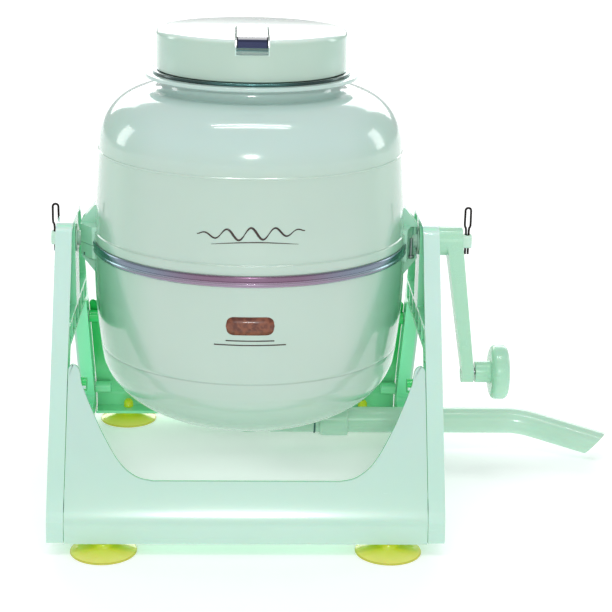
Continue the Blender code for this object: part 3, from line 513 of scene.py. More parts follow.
def make_band_finish():
    """The bright band: steel painted with reflections: violet at the front and back, paler on the lower bead
    and turning teal towards the axles, with a dark painted reflection line along the lower bead.
    """
    finish = Finish("violet_band_metal", IOR=1.8, Coat_Weight=0.5, Coat_Roughness=0.05)
    here, x, _, z = finish.place()
    across = abs(x - DRUM_X)
    brushed = finish.noise(here, 60.0, 4.0, (1.0, 1.0, 30.0))
    # painted reflections: violet at the front and back turning teal towards the axles
    upper = finish.blend(across.ramp(0.030, 0.085), srgb(122, 84, 112), srgb(112, 128, 146))
    upper = finish.blend(across.ramp(0.095, 0.122), upper, srgb(28, 112, 112))
    lower = finish.blend(across.ramp(0.040, 0.115), srgb(178, 158, 180), srgb(128, 172, 176))
    # painted reflection: a dark line along the lower bead
    lower = finish.blend(abs(z - (SEAM_Z - 0.0035)).ramp(0.0009, 0.0003) * 0.6, lower, srgb(110, 78, 104))
    colour = finish.blend(z.ramp(SEAM_Z - 0.0022, SEAM_Z - 0.0012), lower, upper)
    finish.surface(Base_Color=finish.blend(brushed * 0.3, colour, srgb(150, 140, 160)),
                   Roughness=0.16 + brushed * 0.14, Metallic=0.75 + brushed * 0.2)
    finish.relief(brushed, 0.12, 0.00005)
    return finish.material


def make_teal_metal():
    """The ring under the lid: dark teal chrome, painted near-black towards its sides as a painted dark
    reflection.
    """
    finish = Finish("teal_ring_metal", IOR=1.8, Coat_Weight=0.7, Coat_Roughness=0.03)
    here, x = finish.place()[:2]
    cloud = finish.noise(here, 40.0, 4.0, (1.0, 1.0, 12.0))
    across = abs(x - DRUM_X)
    # painted reflection: near-black away from the middle of the front, lighter in the middle
    dark = across.ramp(0.010, 0.045) * across.ramp(0.077, 0.070)
    colour = finish.blend(cloud.ramp(0.35, 0.65), srgb(44, 100, 100), srgb(96, 150, 148))
    colour = finish.blend(dark * 0.85, colour, srgb(6, 34, 34))
    finish.surface(Base_Color=colour, Roughness=0.10 + cloud * 0.15, Metallic=0.7 + cloud * 0.2)
    finish.relief(cloud, 0.10, 0.00004)
    return finish.material


def make_lever_metal():
    """The lid lever: polished steel, painted near-white as a painted reflection of the bright studio, with
    painted shade and dark reflection on its turned-down sides and a navy painted reflection along the curled
    tip.
    """
    finish = Finish("lever_polished_metal", IOR=1.8, Coat_Weight=0.4, Coat_Roughness=0.05)
    here, x, _, z = finish.place()
    brushed = finish.noise(here, 120.0, 4.0, (1.0, 10.0, 1.0))
    low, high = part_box("lid_lever")
    half = (high.x - low.x) / 2
    # painted shade and dark reflection: the turned-down sides
    side = abs(x - DRUM_X).ramp(half - 0.0013, half - 0.0008)
    # painted reflection: a navy band along the curled tip
    tip = z.ramp(high.z - 0.0014, high.z - 0.0022)
    # painted reflection: near-white strap for the bright studio mirrored in it
    colour = finish.blend(brushed * 0.3, srgb(250, 248, 252), srgb(226, 224, 232))
    colour = finish.blend(tip, colour, srgb(52, 58, 92))
    colour = finish.blend(side * 0.92, colour, srgb(22, 30, 44))
    finish.surface(Base_Color=colour, Roughness=0.14 + brushed * 0.12, Metallic=0.8 + brushed * 0.15)
    finish.relief(brushed, 0.10, 0.00004)
    return finish.material


def make_metal(name, base, shade, rough):
    """Plain turned or drawn metal with faint tool marks."""
    finish = Finish(name, IOR=1.8)
    here = finish.place()[0]
    marks = finish.noise(here, 300.0, 4.0, (1.0, 1.0, 6.0))
    finish.surface(Base_Color=finish.blend(marks, srgb(*base), srgb(*shade)),
                   Roughness=rough + marks * 0.18, Metallic=0.85 + marks * 0.15)
    finish.relief(marks, 0.20, 0.00005)
    return finish.material


def make_rubber():
    finish = Finish("dark_rubber", IOR=1.45)
    here = finish.place()[0]
    dust = finish.noise(here, 400.0, 4.0)
    colour = finish.blend(dust, srgb(40, 84, 80), srgb(70, 112, 106))
    finish.surface(Base_Color=colour, Roughness=0.55 + dust * 0.2)
    finish.relief(dust, 0.25, 0.0001)
    return finish.material


def make_print(name, base, shade, spread):
    """Printed ink with slightly uneven coverage."""
    finish = Finish(name, IOR=1.5, Coat_Weight=0.3, Coat_Roughness=0.1)
    here = finish.place()[0]
    cover = finish.noise(here, spread, 4.0).ramp(0.35, 0.65)
    finish.surface(Base_Color=finish.blend(cover, srgb(*base), srgb(*shade)), Roughness=0.3 + cover * 0.15)
    return finish.material


side_plastic = make_side_finish()
panel_plastic = make_panel_finish()
mint_plastic = make_mint_finish("mint_plastic", (180, 226, 200), (170, 218, 190), 0.24)
arm_plastic = make_arm_finish()
tube_plastic = make_mint_finish("mint_tube_plastic", (192, 227, 207), (184, 221, 199), 0.26)
valve_plastic = make_mint_finish("mint_valve_plastic", (170, 215, 190), (150, 205, 178), 0.30)
drum_plastic = make_drum_finish()
lid_plastic = make_lid_finish()
lime_vinyl = make_vinyl_finish()
band_metal = make_band_finish()
teal_metal = make_teal_metal()
lever_metal = make_lever_metal()
steel = make_metal("turned_steel", (176, 178, 182), (140, 142, 148), 0.24)
dark_wire = make_metal("black_spring_wire", (44, 34, 34), (24, 18, 20), 0.28)
axle_paint = make_mint_finish("mint_axle_paint", (206, 236, 220), (190, 224, 206), 0.22)
acetal = make_mint_finish("white_acetal", (214, 240, 226), (200, 230, 214), 0.34)
rubber = make_rubber()
script_ink = make_print("dark_brown_ink", (42, 26, 22), (60, 38, 32), 700.0)
badge_ink = make_print("brown_badge_ink", (92, 40, 22), (134, 74, 48), 260.0)


# ---- stand ---------------------------------------------------------------------------------

def dress(node, finish, width, steps=2):
    """Keep a frame piece as it is, with its own finish and softened edges."""
    obj = nodes[node]
    obj.data.materials.clear()
    obj.data.materials.append(finish)
    if width:
        soften(obj, width, steps)
    return obj


for hand in ("left", "right"):
    dress(f"side_frame_{hand}", side_plastic, 0.0006)


def panel_outline(half):
    """The panel seen square on: a broad U of cut-out between two horns, as (x, height) points."""
    sweep = flowing([(0.0720, 0.0540), (0.0830, 0.0560), (0.0930, 0.0615), (0.1005, 0.0690), (0.1065, 0.0775),
                     (0.1150, 0.0915), (0.1240, 0.1090)], 4)
    horn = rounded([(0.1290, 0.1200, 0.0), (0.1318, 0.1330, 0.0062), (half, 0.1330, 0.0040),
                    (half, 0.1200, 0.0)], 6)
    right = sweep + horn[:-1] + [(half, FOOT_Z)]
    return right[::-1] + [(-x, z) for x, z in right]


def make_panel(row, front):
    """A sloping panel with its knee, a flange along the foot for the cups, and bosses for the screws."""
    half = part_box(f"{row}_panel")[1].x - STAND_X
    wall = SKIN * math.hypot(1, LEG_SLOPE)
    work = bmesh.new()
    work.from_mesh(plate("flat", panel_outline(half), 0.0, wall))
    fine_rows = [FOOT_Z + 0.003 + 0.0015 * k for k in range(24)]       # close together at the knee
    for height in fine_rows + [0.051 + 0.006 * k for k in range(13)]:
        everything = work.verts[:] + work.edges[:] + work.faces[:]
        bmesh.ops.bisect_plane(work, geom=everything, plane_co=(0, height, 0), plane_no=(0, 1, 0))
    for vertex in work.verts:
        x, z, depth = vertex.co
        vertex.co = (x, front * (leg_depth(z) - depth), z)
    skin = as_mesh(work, f"fine_{row}_panel")

    def slab(x_pair, y_pair, low, high):
        (x1, x2), (y1, y2) = sorted(x_pair), sorted(front * y for y in y_pair)
        return block("slab", (x1, y1, low), (x2, y2, high))

    cup = centre(f"suction_cup_{row}_right")
    cup_x, cup_y = cup.x - STAND_X, abs(cup.y)
    joins = [slab((-half, half), (leg_depth(FOOT_Z) - SKIN, cup_y - 0.012), FOOT_Z, FOOT_Z + SKIN)]
    cuts = []
    boss, boss_long, shank = 0.0055, 0.014, 0.0022
    for side, hand in ((-1, "left"), (1, "right")):
        stem = round_bar("stem", 0.0037, -0.01, 0.03, 40)
        cuts.append(moved(stem, (side * cup_x, front * cup_y, 0)))
        for screw in ("foot", "horn"):
            spot = centre(f"{screw}_screw_{row}_{hand}")
            near, far = sorted((side * (half - boss_long), side * half))
            joins.append(moved(round_bar("boss", boss, near, far, 40), (0, spot.y, spot.z), ALONG_X))
            face = leg_depth(spot.z) - SKIN / 2
            joins.append(slab((near, far), (abs(spot.y), face), spot.z - 0.0012, spot.z + 0.0012))
            start, end = (near + 0.003, far + 0.01) if side > 0 else (near - 0.01, far - 0.003)
            hole = round_bar("hole", shank, start, end, 32)
            cuts.append(moved(hole, (0, spot.y, spot.z), ALONG_X))
    mesh = carve(carve(skin, joins, "UNION"), cuts)
    mesh = moved(shaded(mesh, 30), (STAND_X, 0, 0))
    obj = piece(f"fine_{row}_panel", mesh, panel_plastic, "stand", [f"{row}_panel"])
    return soften(obj, 0.0004, 2, 40)


make_panel("front", -1)
make_panel("rear", 1)


def cup_outline():
    """Half of a suction cup's section: button, stem, neck, thin dish and sealing rim."""
    low, high = FOOT_Z - 0.0004, FOOT_Z + SKIN + 0.0004
    stem, top = 0.0034, 0.0190
    return rounded([
        (0.0, top, 0), (0.0026, top, 0.0012), (0.0042, 0.0165, 0.0012), (0.0045, high, 0.0004),
        (stem, high, 0.0002), (stem, low, 0.0002), (0.0075, low, 0.0006), (0.0086, 0.0060, 0.003),
        (0.0150, 0.0044, 0.006), (0.0212, 0.0027, 0.006), (CUP_R - 0.0006, 0.0014, 0.0004),
        (CUP_R, 0.0008, 0.0004), (CUP_R, 0.0, 0.0002), (CUP_R - 0.0042, 0.0, 0.0006),
        (0.0130, 0.0019, 0.010), (0.0, 0.0026, 0),
    ], 4)


cup_mesh = turned("suction_cup", cup_outline(), 112)
for row, hand in CORNERS:
    node = f"suction_cup_{row}_{hand}"
    spot = centre(node)
    piece(f"soft_cup_{row}_{hand}", cup_mesh, lime_vinyl, "stand", [node],
          (spot.x, spot.y, 0))


def screw_mesh(name, length, head_r, head_h, shank_r):
    """A pan-head screw pointing down -Z from a head whose top is at Z = 0, with a cross recess."""
    outline = rounded([
        (0.0, 0.0, 0), (head_r, 0.0, head_h * 0.55), (head_r, -head_h, 0.0001), (shank_r, -head_h, 0),
        (shank_r, -length + shank_r, 0.0003), (shank_r * 0.3, -length, 0.0002), (0.0, -length, 0),
    ], 5)
    body = turned(name, outline, 48)
    arm, wide, deep = head_r * 0.55, head_r * 0.13, head_h * 0.7
    bars = [block("bar", (-u, -v, -deep), (u, v, 0.001)) for u, v in ((arm, wide), (wide, arm))]
    return shaded(carve(body, bars))


panel_screw_mesh = screw_mesh("panel_screw", 0.0210, 0.0042, 0.0017, 0.0019)
outward = Matrix.Rotation(math.pi / 2, 4, "Y")
for level in ("foot", "horn"):
    for row, hand in CORNERS:
        node = f"{level}_screw_{row}_{hand}"
        spot = centre(node)
        side, turn = (1, outward) if hand == "right" else (-1, outward.inverted())
        edge = STAND_X + side * (STAND_HALF - 0.0002)
        mesh = moved(panel_screw_mesh.copy(), (edge, spot.y, spot.z), turn)
        piece(f"pan_{node}", mesh, steel, "stand", [node])


# ---- drum ----------------------------------------------------------------------------------

def bowl_side(shrink):
    """The bowl's side from its rim down to the valve hole, moved in by the wall when shrunk."""
    across, deep, power, middle = 0.1219 - shrink, 0.066 - shrink, 2.15, 0.126
    points = [(0.1270 - shrink, SEAM_Z - 0.0016), (0.1268 - shrink, 0.190), (0.1263 - shrink, 0.168),
              (0.1247 - shrink, 0.146)]
    count = 16
    for k in range(count + 1):
        angle = math.pi / 2 * k / count
        r = across * max(math.cos(angle), 0.0) ** (2 / power)
        points.append((r, middle - deep * math.sin(angle) ** (2 / power)))
    smooth = flowing(points[:4] + points[5:], 4)
    hole = VALVE_R + 0.0004
    kept = [p for p in smooth if p[0] > hole + 0.001]
    return kept + [(hole, smooth[-1][1])]


def make_bowl():
    groove = ((0.0007, 0.0), (0.0001, -0.0003), (-0.0001, -0.0003), (-0.0007, 0.0))
    outer, inner = seamed(bowl_side(0.0), BOWL_SEAM_Z, groove), bowl_side(WALL)
    mesh = moved(turned("fine_bowl", outer + inner[::-1], 192), MID)
    return piece("fine_bowl", mesh, drum_plastic, "drum", ["drum_lower_shell"])


def dome_side(shrink):
    """The dome's side from the foot of the neck to the lip over the band."""
    radius, foot, count = 0.0425 - shrink, 0.2945, 14
    wall = 0.1215 - shrink
    points = []
    for k in range(count + 1):
        angle = math.pi / 2 * (1 - k / count)
        points.append((wall - radius + radius * math.cos(angle), foot + radius * math.sin(angle)))
    below = ((0.1226, 0.278), (0.1237, 0.262), (0.1248, 0.246), (0.1257, 0.231))
    return flowing(points + [(r - shrink, z) for r, z in below], 4)


def make_dome():
    mouth, neck, lip, flange = 0.0665, 0.0720, 0.0705, 0.0850
    top = rounded([
        (mouth, 0.3360, 0.0), (mouth, 0.3600, 0.0010), (lip, 0.3600, 0.0010), (lip, 0.3500, 0.0005),
        (flange, 0.3500, 0.0010), (flange, 0.3468, 0.0010), (neck, 0.3468, 0.0010), (neck, 0.3370, 0.0062),
        (0.0790, 0.3370, 0.0),
    ], 5)
    ridge = ((0.0009, 0.0), (0.0004, 0.0005), (-0.0004, 0.0005), (-0.0009, 0.0))
    outer = seamed(dome_side(0.0), SHOULDER_SEAM_Z, ridge)
    rim = rounded([
        (0.1257, 0.2300, 0.0), (0.1257, 0.2240, 0.0010), (0.1272, 0.2232, 0.0008), (0.1274, 0.2166, 0.0004),
        (0.1268, SEAM_Z + 0.0016, 0.0003), (0.1240, SEAM_Z + 0.0016, 0.0003), (0.1229, 0.2240, 0.0),
    ], 4)
    inner = [p for p in dome_side(WALL) if p[0] > mouth + 0.002]
    outline = top[:-1] + [p for p in outer if p[1] > 0.2302] + rim + inner[::-1]
    mesh = moved(turned("fine_dome", outline, 192), MID)
    return piece("fine_dome", mesh, drum_plastic, "drum", ["drum_upper_shell"])


def make_lug(side, upper):
    """One half of a trunnion block: a flared lug with a sloping gusset, moulded to its shell."""
    hand = "right" if side > 0 else "left"
    level = "upper" if upper else "lower"
    end, root_r, root_x, gusset_half = 0.137, 0.1252, 0.1268, 0.0100
    low, high = (AXLE_Z + 0.0002, 0.2270) if upper else (0.2010, AXLE_Z - 0.0002)
    root = [math.radians(turn) for turn in range(12, -13, -3)]
    plan = rounded([(end, -0.0125, 0.0015), (end, 0.0125, 0.0015), (root_x, 0.0259, 0.0)], 4)
    plan += [(root_r * math.cos(a), root_r * math.sin(a)) for a in root] + [(root_x, -0.0259)]
    shelf = high - 0.001 if upper else low + 0.001
    flat = high + 0.0015 if upper else low - 0.0015
    far = 0.2420 if upper else 0.1850
    rib = [(0.1243, shelf), (end - 0.0003, shelf), (end - 0.0003, flat), (0.1255, far), (0.1243, far)]
    body = plate("lug", plan, low, high)
    gusset = moved(plate("rib", rib, -gusset_half, gusset_half), turn=ALONG_Y)
    made = carve(body, [gusset], "UNION")
    if not upper:
        places = ((0.1315, -0.0145, 0), (0.1315, 0.0145, 0))
        made = carve(made, [moved(round_bar("bore", 0.0034, 0.19, 0.2040, 32), at) for at in places])
    if side < 0:
        made = moved(made, turn=Matrix.Rotation(math.pi, 4, "Z"))
    moved(made, MID)
    obj = piece(f"trunnion_{level}_{hand}", shaded(made), lug_plastic, "drum")
    return soften(obj, 0.0005, 3)


lug_plastic = make_mint_finish("mint_lug_plastic", (182, 232, 208), (172, 226, 200), 0.18)
make_bowl()
make_dome()
for side in (-1, 1):
    for upper in (True, False):
        make_lug(side, upper)


def make_band(row, sign):
    """Half of the trim band: a broad upper bead, a groove, and a narrower lower bead."""
    low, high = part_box(f"drum_band_{row}")[0].z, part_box(f"drum_band_{row}")[1].z
    inner, proud, stop = 0.1279, 0.1290, 0.0275
    outline = rounded([
        (inner, high, 0.0002), (0.1286, high, 0.0003), (proud, high - 0.0010, 0.0005),
        (proud, 0.2122, 0.0003), (0.1283, 0.2114, 0.0002), (0.1283, 0.2106, 0.0002), (0.1288, 0.2099, 0.0003),
        (0.1288, low + 0.0008, 0.0004), (0.1283, low, 0.0002), (inner, low, 0.0001),
    ], 3)
    edge = math.asin(stop / proud)
    arc = (edge, math.pi - edge) if sign > 0 else (math.pi + edge, 2 * math.pi - edge)
    mesh = moved(turned(f"fine_band_{row}", outline, 120, arc), MID)
    return piece(f"fine_band_{row}", mesh, band_metal, "drum", [f"drum_band_{row}"])


make_band("front", -1)
make_band("rear", 1)

ring_low, ring_high = (corner.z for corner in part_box("neck_ring"))
ring_outline = rounded([(0.0735, ring_low, 0.0003), (0.0790, ring_low, 0.0008), (0.0790, ring_high, 0.0008),
                        (0.0735, ring_high, 0.0003)], 4)
piece("fine_neck_ring", moved(turned("fine_neck_ring", ring_outline, 160), MID), teal_metal, "drum",
      ["neck_ring"])

drum_screw_mesh = screw_mesh("drum_screw", 0.0176, 0.0030, 0.0024, 0.0014)
for row, hand in CORNERS:
    node = f"drum_screw_{row}_{hand}"
    spot = centre(node)
    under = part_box(node)[0].z
    mesh = moved(drum_screw_mesh.copy(), (spot.x, spot.y, under), Matrix.Rotation(math.pi, 4, "X"))
    piece(f"lug_{node}", mesh, steel, "drum", [node])


def on_drum(side_of, u, v, lift):
    """A point on the front of the drum: u round it, v up it, lifted off the plastic a little."""
    for (r1, z1), (r2, z2) in zip(side_of, side_of[1:]):
        if z2 <= v <= z1 and z1 > z2:
            radius = r1 + (r2 - r1) * (z1 - v) / (z1 - z2) + lift
            return Vector((DRUM_X + radius * math.sin(u / radius), -radius * math.cos(u / radius), v))
    raise ValueError("this height is not on the drum's side")


def ribbon(name, side_of, line, half_widths, finish, lift=0.00012):
    """A thin printed stroke on the drum's front along (u, v) points."""
    work = bmesh.new()
    rows = []
    for k, (u, v) in enumerate(line):
        ahead, behind = Vector(line[min(k + 1, len(line) - 1)]), Vector(line[max(k - 1, 0)])
        along = (ahead - behind).normalized()
        aside = Vector((-along.y, along.x)) * half_widths[k]
        places = [on_drum(side_of, u + s * aside.x, v + s * aside.y, lift) for s in (-1, 0, 1)]
        rows.append([work.verts.new(place) for place in places])
    for near, far in zip(rows, rows[1:]):
        for s in range(2):
            work.faces.new((near[s], near[s + 1], far[s + 1], far[s]))
    obj = piece(name, shaded(as_mesh(work, name)), finish, "drum")
    thick = obj.modifiers.new("ink", "SOLIDIFY")
    thick.thickness, thick.offset = 0.0001, 0.0
    return obj


def make_ornaments():
    """A plain wave flourish on the dome and a plain badge over two lines on the bowl: no letters."""
    dome, bowl = dome_side(0.0), bowl_side(0.0)
    count, waves = 260, 4.5
    wave, width = [], []
    for k in range(count + 1):
        t = k / count
        swell = math.sin(math.pi * t) ** 0.7
        ripple = 0.0046 * swell * math.sin(2 * math.pi * waves * t)
        wave.append((-0.041 + 0.082 * t, 0.2480 + ripple + 0.003 * (t - 0.5)))
        width.append(0.00035 + 0.00055 * abs(math.sin(math.pi * waves * t)) * swell)
    ribbon("wave_flourish", dome, wave, width, script_ink)
    bow = [math.sin(math.pi * k / 40) for k in range(41)]
    under = [(-0.030 + 0.066 * k / 40, 0.2395 + 0.0022 * bow[k]) for k in range(41)]
    ribbon("flourish_underline", dome, under, [0.00012 + 0.0003 * rise for rise in bow], script_ink)
    ends = [(-0.0185 + 0.037 * k / 40, 0.1768) for k in range(41)]
    round_ends = [min(1.0, (1 - abs(2 * k / 40 - 1) ** 8) ** 0.5 + 0.02) for k in range(41)]
    ribbon("plain_badge", bowl, ends, [0.0072 * share for share in round_ends], badge_ink)
    for number, (start, end, height) in enumerate(((-0.0185, 0.0185, 0.1650), (-0.0275, 0.0275, 0.1615))):
        line = [(start + (end - start) * k / 30, height) for k in range(31)]
        ribbon(f"badge_line_{number + 1}", bowl, line, [0.00045] * 31, script_ink)


make_ornaments()


# ---- lid -----------------------------------------------------------------------------------

def make_lid():
    """A shallow cap with a rolled edge, a groove for the lever and a finger recess at the front."""
    radius, low, top = 0.0757, 0.3527, 0.385
    groove_floor, half = 0.3792, 0.0132
    ceiling = groove_floor - SKIN
    outline = rounded([
        (0.0, top, 0), (radius, top - 0.0006, 0.0042), (radius, low, 0.0007), (radius - SKIN, low, 0.0007),
        (radius - SKIN - 0.0005, 0.3640, 0.0), (0.0640, 0.3640, 0.0005), (0.0640, 0.3560, 0.0006),
        (0.0615, 0.3560, 0.0006), (0.0610, ceiling, 0.002), (0.0, ceiling, 0),
    ], 6)
    body = turned("fine_lid", outline, 192)
    recess_floor = 0.3732
    lining = block("lining", (-0.0165, -0.0735, 0.3655), (0.0165, -0.0600, top - 0.002))
    guide = round_bar("guide", 0.0075, 0.37, ceiling + 0.001, 48)
    body = carve(body, [lining, guide], "UNION")
    recess = block("recess", (-0.0122, -0.080, recess_floor), (0.0122, -0.0655, top + 0.01))
    groove = block("groove", (-half, -0.080, groove_floor), (half, 0.0060, top + 0.01))
    rod = round_bar("rod", 0.0044, 0.30, 0.40, 48)
    body = carve(body, [recess, groove, rod])
    obj = piece("fine_lid", moved(shaded(body), MID), lid_plastic, "lid", ["lid_cap"])
    soften(obj, 0.0004, 2)
    for number, height in enumerate((0.3752, 0.3772)):
        rib = block("rib", (-0.0120, -0.0668, height), (0.0120, -0.0650, height + 0.0006))
        piece(f"recess_rib_{number + 1}", moved(rib, MID), teal_metal, "lid")


make_lid()
dress("lid_lever", lever_metal, 0.0003)
for node, finish in (("lever_pin", steel), ("draw_rod", steel), ("lid_gasket", rubber),
                     ("plate_seal", rubber), ("pressure_plate", valve_plastic), ("drum_gasket", rubber),
                     ("left_axle", axle_paint), ("right_axle", axle_paint),
                     ("drain_valve_nut", valve_plastic)):
    dress(node, finish, 0.0003 if "gasket" not in node else 0)


# ---- drive ---------------------------------------------------------------------------------

def make_knob():
    """A mushroom knob and its pin, with a dished face and a soft rim."""
    inner, rim_in, rim_out = 0.1924, 0.2052, 0.2200
    hole, tail = 0.0030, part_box("crank_arm")[1].x - STAND_X - 0.0060
    outline = rounded([
        (0.0070, rim_out - 0.0012, 0.0004), (0.0140, rim_out - 0.0006, 0.004), (0.0180, rim_out, 0.004),
        (0.0230, rim_out - 0.0014, 0.0045), (0.0230, rim_in + 0.0014, 0.0045), (0.0178, rim_in, 0.004),
        (0.0098, rim_in, 0.0012), (0.0090, rim_in - 0.0030, 0.001), (0.0090, inner, 0.0006),
        (hole, inner, 0.0003), (hole, rim_out - 0.0060, 0.0), (0.0070, rim_out - 0.0060, 0.0),
    ], 5)
    spot = (STAND_X, 0, KNOB_Z)
    mesh = moved(turned("fine_knob", outline, 112), spot, ALONG_X)
    piece("fine_knob", mesh, mint_plastic, "knob", ["crank_knob"])
    pin = rounded([
        (0.0, rim_out - 0.0012, 0), (0.0052, rim_out - 0.0012, 0.0014), (0.0064, rim_out - 0.0034, 0.0006),
        (0.0064, rim_out - 0.0056, 0.0001), (0.0026, rim_out - 0.0056, 0.0), (0.0026, tail, 0.0002),
        (0.0, tail, 0),
    ], 4)
    mesh = moved(turned("fine_knob_pin", pin, 64), spot, ALONG_X)
    piece("fine_knob_pin", mesh, steel, "drum", ["knob_pin"])


def make_split_pin(node, body):
    """Bent spring wire: an oval eye over two legs, with the free ends a little apart."""
    spot = (centre(node).x, 0, AXLE_Z)
    eye, low, high, end, lean, wire = 0.0023, 0.0110, 0.0280, -0.0110, 0.00115, 0.0009
    points = [(lean, 0, end), (lean, 0, low - 0.002), (eye, 0, low + eye), (eye, 0, high - 2 * eye)]
    crown = [math.pi * k / 12 for k in range(13)]
    points += [(eye * math.cos(a), 0, high - eye + eye * math.sin(a)) for a in crown]
    points += [(-x, y, z) for x, y, z in points[3::-1]]
    curve = bpy.data.curves.new(node, "CURVE")
    curve.dimensions, curve.use_fill_caps = "3D", True
    curve.bevel_depth, curve.bevel_resolution = wire, 5
    spline = curve.splines.new("POLY")
    line = flowing(points, 4)
    spline.points.add(len(line) - 1)
    for point, place in zip(spline.points, line):
        point.co = (*place, 1.0)
    temp = placed("wire", curve)
    bpy.context.view_layer.update()
    mesh = bpy.data.meshes.new_from_object(temp.evaluated_get(bpy.context.evaluated_depsgraph_get()))
    bpy.data.objects.remove(temp)
    piece(f"fine_{node}", moved(shaded(mesh), spot), dark_wire, body, [node])


dress("crank_arm", arm_plastic, 0.0008, 3)
make_knob()
make_split_pin("left_split_pin", "left_pin")
make_split_pin("right_split_pin", "right_pin")


def make_bush(hand, side):
    inner, bore, radius = STAND_HALF - 0.013, 0.0064, 0.0090
    outline = rounded([
        (bore, STAND_HALF, 0.0004), (radius, STAND_HALF, 0.0004), (radius, inner - 0.0004, 0.0),
        (0.0115, inner - 0.0004, 0.0003), (0.0115, inner - 0.0011, 0.0003), (bore, inner - 0.0011, 0.0002),
    ], 3)
    mesh = moved(turned(f"fine_bush_{hand}", outline, 64), turn=ALONG_X)
    if side < 0:
        mesh = moved(mesh, turn=Matrix.Rotation(math.pi, 4, "Z"))
    piece(f"fine_bush_{hand}", moved(mesh, (STAND_X, 0, AXLE_Z)), acetal, "stand",
          [f"bearing_bush_{hand}"])


make_bush("left", -1)
make_bush("right", 1)


# ---- drain ---------------------------------------------------------------------------------

def make_valve():
    low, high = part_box("drain_valve_body")[0].z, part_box("drain_valve_body")[1].z
    body = rounded([
        (0.0105, high, 0.0004), (0.0220, high, 0.0008), (0.0220, 0.0652, 0.0002), (VALVE_R, 0.0652, 0.0),
        (VALVE_R, low, 0.0006), (0.0105, low, 0.0006),
    ], 3)
    mesh = moved(turned("fine_valve_body", body, 96), MID)
    piece("fine_valve_body", mesh, valve_plastic, "drum", ["drain_valve_body"])
    face = low - 0.0004
    plug = rounded([
        (0.0, 0.0640, 0), (0.0085, 0.0640, 0.0004), (0.0098, 0.0625, 0.0004), (0.0098, 0.0601, 0.0002),
        (0.0082, 0.0601, 0.0), (0.0082, 0.0577, 0.0), (0.0098, 0.0577, 0.0002), (0.0098, face, 0.0),
        (0.0150, face, 0.0006), (0.0150, 0.0478, 0.0008), (0.0045, 0.0478, 0.0008), (0.0045, 0.0440, 0.0010),
        (0.0, 0.0440, 0),
    ], 4)
    mesh = moved(turned("fine_drain_plug", plug, 80), MID)
    piece("fine_drain_plug", mesh, valve_plastic, "plug", ["drain_plug"])
    dress("drain_plug_seal", rubber, 0)


TUBE_R, TUBE_BORE = 0.0115, 0.009
TUBE_LEFT, TUBE_BEND, TUBE_REACH = 0.0215, 0.247, 0.321


def make_tube():
    """The stiff drain tube: straight, then bent down to a slantwise mouth."""
    spout = Vector((0.0680, -0.0280, -0.0118)).normalized()
    corner = Vector((TUBE_BEND, TUBE_Y, TUBE_Z))
    run, soft = Vector((1, 0, 0)), 0.014
    path = [Vector((TUBE_LEFT + (TUBE_BEND - soft - TUBE_LEFT) * k / 24, TUBE_Y, TUBE_Z)) for k in range(24)]
    before, after = corner - run * soft, corner + spout * soft
    for k in range(13):
        t = k / 12
        path.append(before * (1 - t) ** 2 + corner * 2 * t * (1 - t) + after * t ** 2)
    path += [corner + spout * (soft + (0.046 - soft) * k / 6) for k in range(1, 7)]
    slant = Matrix.Rotation(math.radians(-22), 4, "Z") @ Matrix.Rotation(math.radians(40), 4, "Y")
    plane = (Vector((TUBE_REACH - 0.0135, TUBE_Y - 0.03, 0.010)), slant @ Vector((1, 0, 0)))
    mesh = swept("fine_tube", path, (TUBE_R, TUBE_BORE), 72, plane)
    moved(mesh, (STAND_X, 0, 0))
    obj = piece("fine_tube", mesh, tube_plastic, "tube", ["drain_tube"])
    soften(obj, 0.0004, 2, 50)
    collar = rounded([
        (0.0119, 0.0912, 0.0003), (0.0138, 0.0912, 0.0006), (0.0145, 0.0900, 0.0008),
        (0.0145, 0.0690, 0.0012), (0.0136, 0.0660, 0.0006), (0.0119, 0.0660, 0.0003),
    ], 4)
    place = (STAND_X, TUBE_Y, TUBE_Z)
    piece("fine_collar", moved(turned("fine_collar", collar, 96), place, ALONG_X), tube_plastic, "tube",
          ["tube_collar"])
    dress("tube_oring", rubber, 0)


make_valve()
make_tube()


# ---- stage, light and camera ---------------------------------------------------------------

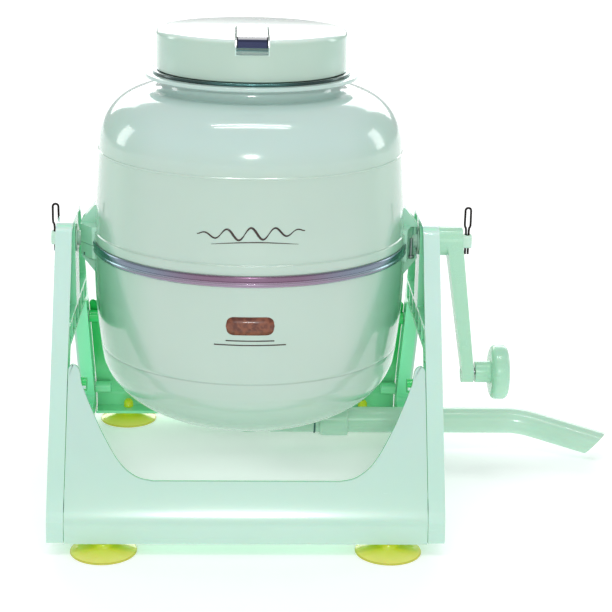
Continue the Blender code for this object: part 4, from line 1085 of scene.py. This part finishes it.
def make_stage():
    floor = placed("floor", block("floor", (-8, -8, -0.02), (8, 8, 0.0)))
    finish = Finish("pale_floor", Emission_Color=(1, 1, 1, 1), Emission_Strength=0.22)
    here = finish.place()[0]
    haze = finish.noise(here, 3.0, 2.0)
    colour = finish.blend(haze * 0.2, (0.93, 0.94, 0.945), (0.90, 0.92, 0.93))
    finish.surface(Base_Color=colour, Roughness=0.55 + haze * 0.1)
    floor.data.materials.append(finish.material)


def softbox(name, place, aim, size, power):
    lamp = bpy.data.lights.new(name, "AREA")
    lamp.shape, lamp.size, lamp.size_y = "RECTANGLE", *size
    lamp.energy = power
    obj = placed(name, lamp, place)
    obj.rotation_euler = (Vector(aim) - Vector(place)).to_track_quat("-Z", "Y").to_euler()


def make_light():
    world = bpy.data.worlds.new("studio")
    bpy.context.scene.world = world
    world.use_nodes = True
    sky = world.node_tree.nodes["Background"]
    sky.inputs["Color"].default_value = (0.97, 1.0, 0.99, 1)
    sky.inputs["Strength"].default_value = 0.57
    aim = (STAND_X, 0, 0.2)
    softbox("key", (DRUM_X, -2.4, 1.05), aim, (0.32, 0.14), 14)
    softbox("overhead_front", (DRUM_X, -0.30, 1.6), aim, (0.9, 0.03), 2.2)
    softbox("overhead_rear", (DRUM_X, -0.16, 1.6), aim, (0.9, 0.03), 2.2)
    softbox("backdrop", (0.0, 4.4, 1.9), aim, (5.5, 2.2), 105)
    softbox("rim_right", (2.2, 0.9, 0.8), aim, (0.5, 1.0), 5)
    softbox("rim_left", (-2.3, 0.9, 0.8), aim, (0.5, 1.0), 5)


def make_camera():
    """The viewpoint: a little above the lid, square to the front."""
    lens = bpy.data.cameras.new("view")
    lens.sensor_width, lens.lens = 36.0, 95.5
    lens.clip_start, lens.clip_end = 0.05, 60
    camera = placed("view", lens, (STAND_X - 0.0065, -1.2926, 0.5471))
    down, aside, level = math.radians(90 - 16.88), math.radians(-2.337), math.radians(0.443)
    turn = Matrix.Rotation(down, 4, "X") @ Matrix.Rotation(aside, 4, "Y") @ Matrix.Rotation(level, 4, "Z")
    camera.rotation_euler = turn.to_euler()
    bpy.context.scene.camera = camera


make_stage()
make_light()
make_camera()
bpy.context.scene.view_settings.view_transform = "Standard"
